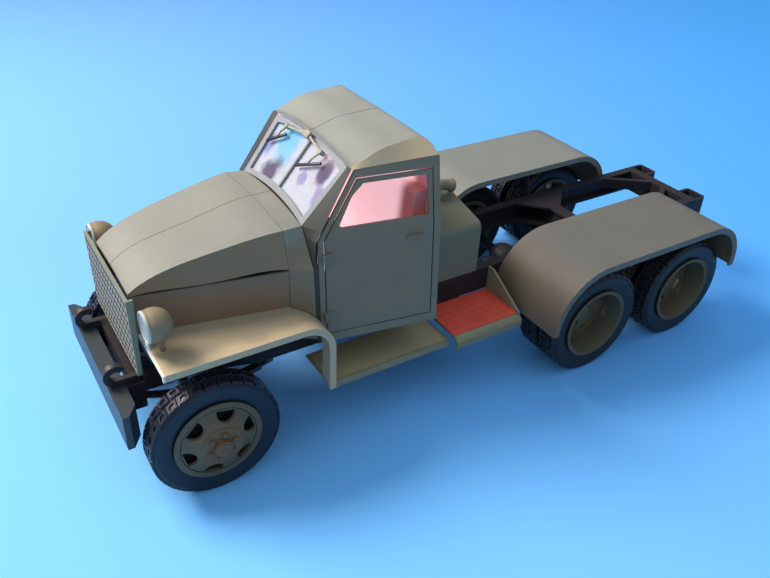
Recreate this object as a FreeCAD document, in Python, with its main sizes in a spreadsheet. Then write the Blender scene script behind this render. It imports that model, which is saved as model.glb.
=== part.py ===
"""Card model of a six-wheeled military truck tractor, at about 1:25.

X points forward, Y to the truck's left and Z up. The origin lies on the ground
under the middle of the model. All sizes are millimetres of the model itself.
"""
import FreeCAD, Part
import math
import os
import Sketcher
from FreeCAD import Placement, Rotation, Vector

# Driving dimensions. "aft" sizes are distances behind the front axle, and
# "ahead" sizes are distances in front of it.
SIZES = {
    # Stance
    "wheelbase": 150.4,
    "bogie_spacing": 42.8,
    "front_overhang": 22.4,
    "rear_overhang": 62.6,
    "card": 0.8,
    "seat_gap": 0.1,
    # Wheels
    "tyre_radius": 18.6,
    "tyre_width": 8.6,
    "tyre_bead_width": 6.6,
    "tread_crown": 0.7,
    "rim_radius": 12.0,
    "rim_wall": 0.9,
    "rim_flange": 0.6,
    "front_tyre_centre": 30.3,
    "twin_centre": 36.2,
    "twin_spacing": 10.0,
    "disc_wall": 0.9,
    "hub_radius": 2.7,
    "front_hub_reach": 9.0,
    "hub_cap_radius": 2.0,
    "rear_hub_reach": 3.0,
    "hand_hole_count": 6,
    "hand_hole_outer": 9.9,
    "hand_hole_inner": 6.2,
    "hand_hole_half": 2.3,
    "hand_hole_bend": 2.6,
    "hub_flange_radius": 5.2,
    "spindle_radius": 1.2,
    "bore_clearance": 0.05,
    # Chassis
    "rail_half": 17.3,
    "rail_flange": 3.3,
    "rail_top": 33.6,
    "rail_bottom": 25.4,
    "nose_top": 31.8,
    "nose_bottom": 28.8,
    "nose_aft": 12.0,
    "nose_slope": 8.0,
    "horn_bottom": 23.4,
    "horn_ahead": 13.3,
    "rail_front_ahead": 17.9,
    "rear_member_depth": 4.0,
    "buffer_depth": 5.5,
    "buffer_inner": 8.2,
    "buffer_wall": 1.2,
    "buffer_corner": 1.6,
    "brace_aft": 188.0,
    "brace_width": 2.6,
    "brace_foot": 2.2,
    "front_strip_ahead": 16.5,
    "front_strip_width": 3.5,
    "front_strip_depth": 5.0,
    "gearbox_member_aft": 66.0,
    "member_width": 4.0,
    "waist_half": 4.5,
    "waist_width": 5.0,
    "gusset_width": 23.7,
    "gusset_aft": 152.8,
    "bumper_half": 28.5,
    "bumper_height": 11.0,
    "bumper_depth": 4.5,
    "bumper_end_depth": 1.8,
    "bumper_taper": 4.0,
    "hook_half": 14.8,
    "hook_ahead": 19.9,
    "hook_radius": 3.3,
    "hook_bar": 1.8,
    "hook_tail": 6.4,
    "pintle_reach": 4.6,
    "pintle_bar": 1.5,
    # Springs and axles
    "front_spring_half": 15.2,
    "spring_width": 2.6,
    "leaf": 0.7,
    "front_spring_front_z": 26.2,
    "front_spring_rear_z": 24.6,
    "front_spring_aft": 24.5,
    "front_spring_arc": 55.0,
    "axle_tube_radius": 1.5,
    "front_diff_radius": 4.2,
    "rear_tube_radius": 1.8,
    "rear_diff_radius": 4.8,
    "drive_line_y": -4.0,
    "kingpin_half": 26.6,
    "kingpin_radius": 0.9,
    "kingpin_boss": 1.7,
    "kingpin_boss_height": 3.4,
    "knuckle_lug": 1.2,
    "knuckle_gap": 0.3,
    "knuckle_plate": 1.0,
    "steering_arm": 8.0,
    "tie_rod_radius": 0.7,
    "tie_pin_radius": 0.5,
    "rear_spring_half": 20.4,
    "rear_spring_arc": 60.0,
    "rear_spring_end": 18.6,
    "trunnion_z": 22.4,
    "trunnion_radius": 1.5,
    "shaft_radius": 1.2,
    "joint_radius": 1.9,
    # Gearbox, engine and tank
    "engine_half": 8.0,
    "engine_front_ahead": 4.0,
    "engine_rear_aft": 27.4,
    "engine_bottom": 24.6,
    "engine_top": 50.0,
    "gearbox_half": 5.0,
    "gearbox_rear_aft": 58.0,
    "gearbox_bottom": 24.0,
    "transfer_front_aft": 84.0,
    "transfer_rear_aft": 94.0,
    "transfer_half": 8.0,
    "transfer_bottom": 16.6,
    "tank_rear_aft": 98.0,
    "tank_top": 51.5,
    "tank_rise": 3.9,
    "tank_corner": 2.2,
    "filler_radius": 2.2,
    "filler_cap_radius": 2.6,
    "filler_aft": 93.6,
    "filler_y": 1.2,
    "filler_bend": 3.6,
    "filler_neck": 1.2,
    "filler_seat_radius": 3.0,
    "filler_cap_length": 1.6,
    # Cab plan and heights
    "door_aft": 36.2,
    "door_rear_aft": 68.2,
    "cab_rear_aft": 70.1,
    "cab_half": 28.2,
    "cab_flare": 9.66,
    "cab_lean": 4.3,
    "cab_tumble": 7.7,
    "cab_corner_aft": 34.7,
    "cab_foot": 36.0,
    "cab_wall": 0.9,
    "cowl_aft": 27.6,
    "screen_aft": 33.5,
    "screen_top_aft": 46.3,
    "screen_foot": 68.4,
    "screen_head": 83.3,
    "screen_half": 19.3,
    "screen_top_half": 21.0,
    "screen_foot_arch": 1.8,
    "screen_head_arch": 2.6,
    "screen_border": 1.9,
    "screen_bar": 0.7,
    "screen_film": 0.3,
    "door_thickness": 1.0,
    "door_gap": 0.4,
    "door_foot": 37.0,
    "door_head_front": 81.6,
    "door_head_rear": 81.6,
    "door_bend_z": 66.0,
    "door_head_aft": 46.2,
    "header": 1.8,
    "window_foot": 68.9,
    "window_head": 80.0,
    "window_front_aft": 40.4,
    "window_mid_aft": 44.8,
    "window_mid_z": 77.0,
    "window_head_aft": 48.1,
    "window_rear_aft": 66.6,
    "rear_window_half": 12.0,
    "handle_aft": 59.8,
    "handle_length": 5.0,
    "handle_z": 63.4,
    "hinge_out": 0.8,
    "hinge_radius": 0.55,
    "hinge_length": 2.6,
    "hinge_low_z": 43.0,
    "hinge_high_z": 61.0,
    "hinge_leaf_width": 2.4,
    # Roof
    "roof_seam_front": 83.8,
    "roof_seam_rear": 84.7,
    "roof_wall": 0.9,
    "roof_front_rise": 0.5,
    "roof_front_crown": 2.2,
    "roof_crest_aft": 66.0,
    "roof_crest_rise": 4.0,
    "roof_crest_crown": 0.35,
    "roof_rear_rise": 3.4,
    "roof_rear_crown": 0.3,
    "roof_cheek": 4.4,
    # Bonnet
    "bonnet_wall": 0.8,
    "bonnet_ahead": 13.1,
    "bonnet_seam": 58.0,
    "bonnet_front_half": 15.0,
    "bonnet_rear_half": 23.0,
    "bonnet_front_crease": 58.6,
    "bonnet_front_crown": 59.6,
    "bonnet_nose_ahead": 9.6,
    "bonnet_nose_crease": 60.9,
    "bonnet_nose_crown": 62.1,
    "bonnet_brow_ahead": 2.1,
    "bonnet_brow_crease": 63.8,
    "bonnet_brow_crown": 64.7,
    "bonnet_mid_aft": 10.9,
    "bonnet_mid_crease": 66.5,
    "bonnet_mid_crown": 67.3,
    "bonnet_rear_crease": 68.7,
    "bonnet_rear_crown": 70.1,
    "crease_front_half": 14.8,
    "crease_rear_half": 20.0,
    "bonnet_side_foot": 46.2,
    "bonnet_seam_gap": 0.3,
    # Front end
    "guard_ahead": 14.2,
    "guard_half": 20.0,
    "guard_foot": 36.6,
    "guard_head": 60.0,
    "guard_columns": 17,
    "guard_rows": 8,
    "guard_border": 1.0,
    "guard_bar": 0.8,
    "radiator_ahead": 10.0,
    "radiator_depth": 3.0,
    "radiator_foot": 34.6,
    "lamp_half": 24.8,
    "lamp_ahead": 12.2,
    "lamp_z": 54.6,
    "lamp_radius": 4.3,
    "lamp_depth": 6.8,
    "lens_thickness": 0.5,
    "small_lamp_radius": 1.6,
    "small_lamp_depth": 2.6,
    "lamp_post_radius": 0.7,
    # Front mudguards and running boards
    "fender_top": 46.2,
    "fender_front_ahead": 12.3,
    "fender_bend_aft": 26.6,
    "fender_bend": 9.0,
    "fender_foot": 23.0,
    "fender_outer": 35.0,
    "fender_lip": 2.0,
    "board_top": 22.5,
    "board_outer": 32.4,
    "board_inner": 20.0,
    "board_lip": 2.4,
    "board_rear_aft": 77.4,
    "step_front_aft": 78.0,
    "step_rear_aft": 104.0,
    "step_top": 24.6,
    "step_outer": 34.2,
    "step_lip": 2.2,
    "step_bevel": 1.6,
    "plank": 0.4,
    # Rear mudguards
    "rear_fender_inner": 17.9,
    "rear_fender_outer": 48.9,
    "rear_fender_top": 44.1,
    "rear_fender_front_aft": 106.0,
    "rear_fender_rear_aft": 192.0,
    "rear_fender_front_arc": 20.0,
    "rear_fender_rear_arc": 16.0,
    "rear_fender_foot": 25.4,
    "rear_fender_lip": 2.2,
    "bracket_width": 1.2,
    # Inside the cab
    "floor_z": 34.6,
    "seat_front_aft": 51.0,
    "seat_height": 12.0,
    "seat_top": 51.0,
    "seat_half": 26.0,
    "back_thickness": 4.0,
    "back_top": 74.0,
    "dash_depth": 3.0,
    "dash_height": 8.0,
    "steer_y": 12.5,
    "steer_ring": 6.4,
    "steer_bar": 0.6,
    "steer_lean": 42.0,
    "steer_z": 64.0,
    "steer_aft": 44.5,
    "steer_column_radius": 1.2,
    # Wipers
    "wiper_y": 9.5,
    "wiper_block": 1.6,
    "wiper_bar": 0.5,
    "wiper_blade": 8.0,
}

doc = FreeCAD.newDocument("card_truck_tractor")
sheet = doc.addObject("Spreadsheet::Sheet", "Sizes")


class Size:
    """A number together with the formula that reads it from the sheet."""

    def __init__(self, number, text=None):
        self.number = float(number)
        self.text = text if text else "%.9g" % number

    def mixed(self, other, sign, number):
        other = as_size(other)
        return Size(number, "(%s %s %s)" % (self.text, sign, other.text))

    def __add__(self, other):
        return self.mixed(other, "+", self.number + as_size(other).number)

    def __sub__(self, other):
        return self.mixed(other, "-", self.number - as_size(other).number)

    def __mul__(self, other):
        return self.mixed(other, "*", self.number * as_size(other).number)

    def __truediv__(self, other):
        return self.mixed(other, "/", self.number / as_size(other).number)

    def __radd__(self, other):
        return as_size(other) + self

    def __rsub__(self, other):
        return as_size(other) - self

    def __rmul__(self, other):
        return as_size(other) * self

    def __neg__(self):
        return as_size(0) - self


def as_size(thing):
    return thing if isinstance(thing, Size) else Size(thing)


def max_size(one, other):
    return Size(max(one.number, other.number), "max(%s; %s)" % (one.text, other.text))


def root(size):
    return Size(math.sqrt(size.number), "sqrt(%s)" % size.text)


def sine(angle):
    return Size(math.sin(math.radians(angle.number)), "sin(%s)" % angle.text)


def cosine(angle):
    return Size(math.cos(math.radians(angle.number)), "cos(%s)" % angle.text)


def slope_angle(rise, run):
    degrees = math.degrees(math.atan2(rise.number, run.number))
    return Size(degrees, "atan(%s / %s)" % (rise.text, run.text))


class SheetSizes:
    """The driving dimensions, each one written once in the sheet."""

    def __init__(self, numbers):
        for row, (alias, number) in enumerate(numbers.items(), start=1):
            sheet.set("A%d" % row, alias)
            sheet.set("B%d" % row, "%g" % number)
            sheet.setAlias("B%d" % row, alias)
            setattr(self, alias, Size(number, "Sizes." + alias))


S = SheetSizes(SIZES)
doc.recompute()

# Places worked out from the driving dimensions
FRONT_X = (S.wheelbase + S.rear_overhang - S.front_overhang) / 2
BOGIE_X = FRONT_X - S.wheelbase
REAR_AXLE_X = {"front": BOGIE_X + S.bogie_spacing / 2, "rear": BOGIE_X - S.bogie_spacing / 2}
REAR_END_X = BOGIE_X - S.rear_overhang
FRONT_END_X = FRONT_X + S.front_overhang
AXLE_Z = S.tyre_radius
CHASSIS_REAR_X = REAR_END_X + S.buffer_depth + S.rear_member_depth
RAIL_INNER = S.rail_half - S.rail_flange
BUMPER_TOP = S.nose_top


def aft(size):
    return FRONT_X - size


def ahead(size):
    return FRONT_X + size


# Drawing helpers

def bind(thing, path, size):
    """Sets a property and keeps it tied to the sheet."""
    thing.setExpression(path, as_size(size).text)


def new_body(name):
    body = doc.addObject("PartDesign::Body", name)
    body.Label = name
    return body


def base_plane(body, role):
    for feature in body.Origin.OriginFeatures:
        if feature.Role == role:
            return feature
    raise ValueError("no plane called " + role)


def sketch_on(body, role, name, offset=0, tilt=None, rise=0):
    """A sketch on one of the body's own base planes, moved along its normal."""
    sketch = body.newObject("Sketcher::SketchObject", body.Name + "_" + name)
    sketch.AttachmentSupport = (base_plane(body, role), "")
    sketch.MapMode = "FlatFace"
    offset = as_size(offset)
    angle = tilt.number if tilt else 0
    turn = Rotation(Vector(1, 0, 0), angle)
    rise = as_size(rise)
    sketch.AttachmentOffset = Placement(Vector(0, rise.number, offset.number), turn)
    bind(sketch, "AttachmentOffset.Base.y", rise)
    bind(sketch, "AttachmentOffset.Base.z", offset)
    if tilt:
        bind(sketch, "AttachmentOffset.Rotation.Angle", tilt)
    return sketch


def fix(sketch, kind, edge, end, size):
    place = sketch.addConstraint(Sketcher.Constraint(kind, -1, 1, edge, end, size.number))
    sketch.setExpression("Constraints[%d]" % place, size.text)


def arc_between(start, end, radius):
    """The shorter arc from start to end; a negative radius bends clockwise."""
    chord = end - start
    half = chord.Length / 2
    size = abs(radius)
    rise = math.sqrt(max(size * size - half * half, 0))
    side = Vector(-chord.y, chord.x, 0).normalize()
    centre = (start + end) / 2 + side * rise * (1 if radius > 0 else -1)
    away = (start + end) / 2 - centre
    if away.Length < 1e-9:
        away = side * (-1 if radius > 0 else 1)
    middle = centre + away.normalize() * size
    return Part.Arc(start, middle, end)


def outline(sketch, *corners):
    """A closed outline. A corner is (x, y), or (x, y, radius) where it ends an arc."""
    count = len(corners)
    points = [Vector(as_size(c[0]).number, as_size(c[1]).number, 0) for c in corners]
    edges = []
    for index in range(count):
        target = (index + 1) % count
        corner = corners[target]
        if len(corner) == 3:
            shape = arc_between(points[index], points[target], as_size(corner[2]).number)
        else:
            shape = Part.LineSegment(points[index], points[target])
        edges.append(sketch.addGeometry(shape))
    ends = []
    for index in range(count):
        corner = corners[(index + 1) % count]
        flipped = len(corner) == 3 and as_size(corner[2]).number < 0
        ends.append((2, 1) if flipped else (1, 2))
    for index in range(count):
        follow = (index + 1) % count
        here = ends[index]
        there = ends[follow]
        joint = Sketcher.Constraint("Coincident", edges[index], here[1], edges[follow], there[0])
        sketch.addConstraint(joint)
        fix(sketch, "DistanceX", edges[index], here[0], as_size(corners[index][0]))
        fix(sketch, "DistanceY", edges[index], here[0], as_size(corners[index][1]))
        corner = corners[follow]
        if len(corner) == 3:
            radius = as_size(corner[2])
            positive = radius if radius.number > 0 else -radius
            place = sketch.addConstraint(
                Sketcher.Constraint("Radius", edges[index], positive.number))
            sketch.setExpression("Constraints[%d]" % place, positive.text)
    return sketch


def box_outline(sketch, left, low, right, high):
    return outline(sketch, (left, low), (right, low), (right, high), (left, high))


def circle(sketch, x, y, radius):
    x, y, radius = as_size(x), as_size(y), as_size(radius)
    shape = Part.Circle(Vector(x.number, y.number, 0), Vector(0, 0, 1), radius.number)
    edge = sketch.addGeometry(shape)
    fix(sketch, "DistanceX", edge, 3, x)
    fix(sketch, "DistanceY", edge, 3, y)
    place = sketch.addConstraint(Sketcher.Constraint("Radius", edge, radius.number))
    sketch.setExpression("Constraints[%d]" % place, radius.text)
    return sketch


def feature(body, kind, sketch, length, reverse=False, both=False):
    made = body.newObject("PartDesign::" + kind, sketch.Name + "_" + kind.lower())
    made.Profile = sketch
    made.Reversed = reverse
    if both:
        made.SideType = "Symmetric"
    made.Length = as_size(length).number
    bind(made, "Length", length)
    body.Tip = made
    return made


def pad(body, sketch, length, reverse=False, both=False):
    return feature(body, "Pad", sketch, length, reverse, both)


def pocket(body, sketch, length, reverse=False, both=False):
    return feature(body, "Pocket", sketch, length, reverse, both)


def turned(body, sketch, axis="V_Axis", kind="Revolution"):
    made = body.newObject("PartDesign::" + kind, sketch.Name + "_turned")
    made.Profile = sketch
    made.ReferenceAxis = (sketch, [axis])
    made.Angle = 360
    body.Tip = made
    return made


def polar(body, source, axis_role, count):
    made = body.newObject("PartDesign::PolarPattern", source.Name + "_ring")
    made.Originals = [source]
    made.Axis = (base_plane(body, axis_role), [""])
    made.Angle = 360
    made.Occurrences = int(count.number)
    bind(made, "Occurrences", count)
    body.Tip = made
    return made


def loft(body, name, sections, kind="AdditiveLoft", ruled=False):
    made = body.newObject("PartDesign::" + kind, body.Name + "_" + name)
    made.Profile = sections[0]
    made.Sections = sections[1:]
    made.Ruled = ruled
    body.Tip = made
    return made


def place(thing, x=0, y=0, z=0, axis=None, angle=None):
    """Moves a finished sub-part, and keeps its place tied to the sheet."""
    turn = Rotation(axis, angle.number) if axis else Rotation()
    spot = Vector(as_size(x).number, as_size(y).number, as_size(z).number)
    thing.Placement = Placement(spot, turn)
    bind(thing, "Placement.Base.x", x)
    bind(thing, "Placement.Base.y", y)
    bind(thing, "Placement.Base.z", z)
    if axis:
        bind(thing, "Placement.Rotation.Angle", angle)
    return thing


def mirror_of(source, name):
    """The right-hand piece that mirrors a left-hand one."""
    made = doc.addObject("Part::Mirroring", name)
    made.Label = name
    made.Source = source
    made.Base = Vector(0, 0, 0)
    made.Normal = Vector(0, 1, 0)
    return made


def group(name, *members):
    made = doc.addObject("Part::Compound", name)
    made.Label = name
    made.Links = list(members)
    return made


def pair(name, left):
    return group(name, left, mirror_of(left, name + "_right"))


nodes = {}


def node(name, thing):
    nodes[name] = thing
    return thing


# Frame rails: channels that open inwards, with a low nose and a spring horn

def rail_side(inset):
    """Side view of a rail, drawn smaller by inset all round."""
    step_x = ahead(S.front_strip_ahead - S.front_strip_width) + inset
    low = S.rail_bottom + inset
    high = S.rail_top - inset
    nose_low = S.nose_bottom + inset
    horn_x = ahead(S.horn_ahead) + inset
    front_x = ahead(S.rail_front_ahead) - inset
    return [
        (CHASSIS_REAR_X + inset, low),
        (aft(S.nose_aft + S.nose_slope), low),
        (aft(S.nose_aft) + S.nose_slope, nose_low),
        (horn_x, nose_low),
        (horn_x, S.horn_bottom + inset),
        (front_x, S.horn_bottom + inset),
        (front_x, S.nose_top - inset),
        (step_x - 2 * inset, S.nose_top - inset),
        (step_x - 2 * inset, high),
        (CHASSIS_REAR_X + inset, high),
    ]


def make_frame_rails():
    body = new_body("frame_rail_left")
    side = outline(sketch_on(body, "XZ_Plane", "side", -S.rail_half), *rail_side(as_size(0)))
    pad(body, side, S.rail_flange)
    hollow = sketch_on(body, "XZ_Plane", "hollow", S.card - S.rail_half)
    outline(hollow, *rail_side(S.card))
    pocket(body, hollow, S.rail_flange, reverse=True)
    node("frame_rails", pair("frame_rails", body))


def channel(body, name, x, width, low, high, half):
    """A cross member: a box channel that opens downwards."""
    plan = sketch_on(body, "YZ_Plane", name, x - width)
    outline(plan, (-half, low), (-half, high), (half, high), (half, low),
            (half - S.card, low), (half - S.card, high - S.card),
            (S.card - half, high - S.card), (S.card - half, low))
    return pad(body, plan, width)


def make_cross_members():
    body = new_body("cross_members")
    inner = RAIL_INNER
    front = sketch_on(body, "XZ_Plane", "front_strip")
    front_x = ahead(S.front_strip_ahead)
    back_x = front_x - S.front_strip_width
    low = S.rail_top - S.front_strip_depth
    outline(front, (back_x, S.rail_top), (front_x, S.rail_top), (front_x, low),
            (front_x - S.card, low), (front_x - S.card, S.rail_top - S.card),
            (back_x, S.rail_top - S.card))
    strip_half = S.hook_half - S.hook_bar / 2
    pad(body, front, 2 * strip_half, both=True)
    gearbox = sketch_on(body, "XZ_Plane", "gearbox_member")
    box_x = aft(S.gearbox_member_aft)
    outline(gearbox, (box_x - S.member_width, S.rail_bottom), (box_x, S.rail_bottom),
            (box_x, S.rail_top), (box_x - S.card, S.rail_top),
            (box_x - S.card, S.rail_bottom + S.card),
            (box_x - S.member_width, S.rail_bottom + S.card))
    pad(body, gearbox, 2 * inner, both=True)
    waist_x = aft(S.gusset_aft)
    wide = S.gusset_width / 2
    narrow = S.waist_width / 2
    for name, floor in (("gusset_top", S.rail_top - S.card), ("gusset_foot", S.rail_bottom)):
        plate = sketch_on(body, "XY_Plane", name, floor)
        outline(plate, (waist_x - wide, inner), (waist_x - narrow, S.waist_half),
                (waist_x - narrow, -S.waist_half), (waist_x - wide, -inner),
                (waist_x + wide, -inner), (waist_x + narrow, -S.waist_half),
                (waist_x + narrow, S.waist_half), (waist_x + wide, inner))
        pad(body, plate, S.card)
    web = sketch_on(body, "XY_Plane", "gusset_web", S.rail_bottom)
    box_outline(web, waist_x - S.card, -inner, waist_x + S.card, inner)
    pad(body, web, S.rail_top - S.rail_bottom)
    node("cross_members", body)


def make_rear_member():
    """Rear cross member with its two braces and the two buffer loops."""
    body = new_body("rear_cross_member")
    height = S.rail_top - S.rail_bottom
    back = REAR_END_X + S.buffer_depth
    bar = sketch_on(body, "XY_Plane", "bar", S.rail_bottom)
    box_outline(bar, back, -S.rail_half, CHASSIS_REAR_X, S.rail_half)
    pad(body, bar, height)
    for side in (1, -1):
        brace = sketch_on(body, "XY_Plane", "brace_%s" % ("left" if side > 0 else "right"),
                          S.rail_top - height / 2)
        outline(brace, (CHASSIS_REAR_X, side * S.brace_foot),
                (CHASSIS_REAR_X, side * (S.brace_foot + S.brace_width)),
                (aft(S.brace_aft) - S.brace_width, side * RAIL_INNER),
                (aft(S.brace_aft), side * RAIL_INNER))
        pad(body, brace, height / 2)
        loop = sketch_on(body, "XY_Plane", "loop_%s" % ("left" if side > 0 else "right"),
                         S.rail_bottom)
        corner = S.buffer_corner
        turn = corner * -side
        outline(loop, (back, side * S.buffer_inner),
                (REAR_END_X + corner, side * S.buffer_inner),
                (REAR_END_X, side * (S.buffer_inner + corner), turn),
                (REAR_END_X, side * (S.rail_half - corner)),
                (REAR_END_X + corner, side * S.rail_half, turn),
                (back, side * S.rail_half),
                (back, side * (S.rail_half - S.buffer_wall)),
                (REAR_END_X + S.buffer_wall, side * (S.rail_half - S.buffer_wall)),
                (REAR_END_X + S.buffer_wall, side * (S.buffer_inner + S.buffer_wall)),
                (back, side * (S.buffer_inner + S.buffer_wall)))
        pad(body, loop, height)
    node("rear_cross_member", body)


def make_pintle_hook():
    body = new_body("pintle_hook")
    back = REAR_END_X + S.buffer_depth
    middle = (S.rail_top + S.rail_bottom) / 2
    bar = S.pintle_bar
    plate = sketch_on(body, "YZ_Plane", "plate", back - bar / 2)
    box_outline(plate, -2 * bar, middle - 2 * bar, 2 * bar, middle + 2 * bar)
    pad(body, plate, bar / 2)
    hook = sketch_on(body, "XZ_Plane", "hook")
    tip = back - S.pintle_reach
    root_x = back - bar / 2
    outline(hook, (root_x, middle - bar), (tip + bar, middle - bar),
            (tip, middle, -bar), (tip, middle + bar), (tip + bar / 2, middle + bar),
            (tip + bar, middle), (root_x, middle))
    pad(body, hook, bar, both=True)
    node("pintle_hook", body)


# Front bumper: a channel open to the rear, with tapered closed ends

def make_front_bumper():
    body = new_body("front_bumper")
    front = FRONT_END_X
    back = front - S.bumper_depth
    foot = BUMPER_TOP - S.bumper_height
    block = sketch_on(body, "XY_Plane", "plan", foot)
    half = S.bumper_half
    corner_y = half - S.bumper_taper
    corner_x = front - S.bumper_end_depth
    outline(block, (front, -half), (front, half), (corner_x, half), (back, corner_y),
            (back, -corner_y), (corner_x, -half))
    pad(body, block, S.bumper_height)
    hollow = sketch_on(body, "XY_Plane", "hollow", foot + S.card)
    inner_half = half - S.card
    outline(hollow, (front - S.card, -inner_half), (front - S.card, inner_half),
            (corner_x, inner_half), (back, corner_y - S.card),
            (back - S.card, corner_y - S.card), (back - S.card, S.card - corner_y),
            (back, S.card - corner_y), (corner_x, -inner_half))
    pocket(body, hollow, S.bumper_height - 2 * S.card, reverse=True)
    node("front_bumper", body)


def make_tow_hooks():
    """Bars bent into open curls, with tails that lie on the rail noses."""
    body = new_body("tow_hook_left")
    side = sketch_on(body, "XZ_Plane", "side", S.hook_bar / 2 - S.hook_half)
    x = ahead(S.hook_ahead)
    outer = S.hook_radius
    inner = S.hook_radius - S.hook_bar
    low = BUMPER_TOP
    z = low + outer
    tail_x = x - S.hook_tail
    outline(side, (tail_x, low), (x, low), (x + outer, z, outer), (x, z + outer, outer),
            (x - outer * 0.8, z + outer * 0.6, outer), (x - inner * 0.8, z + inner * 0.6),
            (x, z + inner, -inner), (x + inner, z, -inner), (x, z - inner, -inner),
            (tail_x, z - inner))
    pad(body, side, S.hook_bar, reverse=True)
    node("tow_hooks", pair("tow_hooks", body))


# Springs: leaves on one centre, each shorter than the one before

def leaf_stack(sketch, start, end, centre, radius, leaves, shorten, rising):
    """Side view of a spring. The longest leaf runs from start to end in X."""
    sign = 1 if rising else -1

    def on_arc(x, layer):
        reach = radius + layer * S.leaf * (1 if rising else -1)
        across = x - centre[0]
        return centre[1] - sign * root(reach * reach - across * across), reach

    low_side = []
    high_side = []
    for layer in range(leaves):
        left = end + shorten * layer
        right = start - shorten * layer
        top, reach_top = on_arc(left, layer)
        bottom, reach_bottom = on_arc(left, layer + 1)
        low_side.append((left, top, layer, reach_top))
        low_side.append((left, bottom, layer + 1, reach_bottom))
        top, reach_top = on_arc(right, layer)
        bottom, reach_bottom = on_arc(right, layer + 1)
        high_side.append((right, top, layer, reach_top))
        high_side.append((right, bottom, layer + 1, reach_bottom))
    turn = sign
    corners = []
    for index, (x, z, layer, reach) in enumerate(low_side):
        same = index and low_side[index - 1][2] == layer
        corners.append((x, z, reach * turn) if same else (x, z))
    tip = high_side[-1]
    corners.append((tip[0], tip[1], tip[3] * turn))
    for index in range(len(high_side) - 2, -1, -1):
        x, z, layer, reach = high_side[index]
        same = high_side[index + 1][2] == layer
        corners.append((x, z, reach * turn) if same else (x, z))
    first = low_side[0]
    corners[0] = (first[0], first[1], first[3] * -turn)
    return outline(sketch, *corners)


def arc_centre(start, end, radius):
    """Centre above two points of an arc of this radius."""
    across = start[0] - end[0]
    drop = start[1] - end[1]
    chord = root(across * across + drop * drop)
    rise = root(radius * radius - chord * chord / 4)
    return ((start[0] + end[0]) / 2 - rise * drop / chord,
            (start[1] + end[1]) / 2 + rise * across / chord)


def make_front_springs():
    body = new_body("front_spring_left")
    start = (ahead(S.horn_ahead), S.front_spring_front_z)
    end = (aft(S.front_spring_aft), S.front_spring_rear_z)
    centre = arc_centre(start, end, S.front_spring_arc)
    side = sketch_on(body, "XZ_Plane", "leaves", S.spring_width / 2 - S.front_spring_half)
    leaf_stack(side, start[0], end[0], centre, S.front_spring_arc, 3, S.spring_width * 1.5, True)
    pad(body, side, S.spring_width, reverse=True)
    shackle = sketch_on(body, "XZ_Plane", "shackle", S.spring_width / 2 - S.front_spring_half)
    box_outline(shackle, end[0], end[1] - S.leaf / 2, end[0] + S.spring_width, S.rail_bottom)
    pad(body, shackle, S.spring_width, reverse=True)
    node("front_springs", pair("front_springs", body))


def make_rear_springs():
    body = new_body("rear_spring_left")
    seat = AXLE_Z + S.rear_tube_radius + S.leaf
    start = (BOGIE_X + S.rear_spring_end, seat)
    end = (BOGIE_X - S.rear_spring_end, seat)
    radius = S.rear_spring_arc
    rise = root(radius * radius - S.rear_spring_end * S.rear_spring_end)
    centre = (BOGIE_X, seat - rise)
    side = sketch_on(body, "XZ_Plane", "leaves", -S.rear_spring_half - S.spring_width / 2)
    shorten = S.spring_width * 1.4
    corners = []
    for layer in range(5):
        reach = radius + layer * S.leaf
        half = S.rear_spring_end - shorten * layer
        height = centre[1] + root(reach * reach - half * half)
        corners.append((BOGIE_X - half, height))
        lifted = reach + S.leaf
        corners.append((BOGIE_X - half, centre[1] + root(lifted * lifted - half * half)))
        if layer < 4:
            near = half - shorten
            top = centre[1] + root(lifted * lifted - near * near)
            corners.append((BOGIE_X - near, top, -lifted))
    left = [(x, z, r[0]) if r else (x, z) for x, z, *r in corners]
    clean = [left[0]]
    for corner in left[1:]:
        before = clean[-1]
        same_x = abs(corner[0].number - before[0].number) < 1e-6
        if same_x and abs(corner[1].number - before[1].number) < 1e-6:
            continue
        clean.append(corner)
    tip = clean[-1]
    top_reach = radius + 5 * S.leaf
    right = [(2 * BOGIE_X - tip[0], tip[1], -top_reach)]
    for index in range(len(clean) - 1, 0, -1):
        x, z = clean[index - 1][:2]
        if len(clean[index]) == 3:
            right.append((2 * BOGIE_X - x, z, clean[index][2]))
        else:
            right.append((2 * BOGIE_X - x, z))
    first = clean[0]
    outline(side, (first[0], first[1], radius), *clean[1:], *right)
    pad(body, side, S.spring_width, reverse=True)
    block = sketch_on(body, "XZ_Plane", "seats", -S.rear_spring_half - S.spring_width / 2)
    for centre_x in (start[0], end[0]):
        box_outline(block, centre_x - S.leaf * 2, AXLE_Z + S.rear_tube_radius,
                    centre_x + S.leaf * 2, seat + S.leaf / 2)
    pad(body, block, S.spring_width, reverse=True)
    node("rear_springs", pair("rear_springs", body))


# Axles: turned housings with a bulge for the final drive

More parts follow.
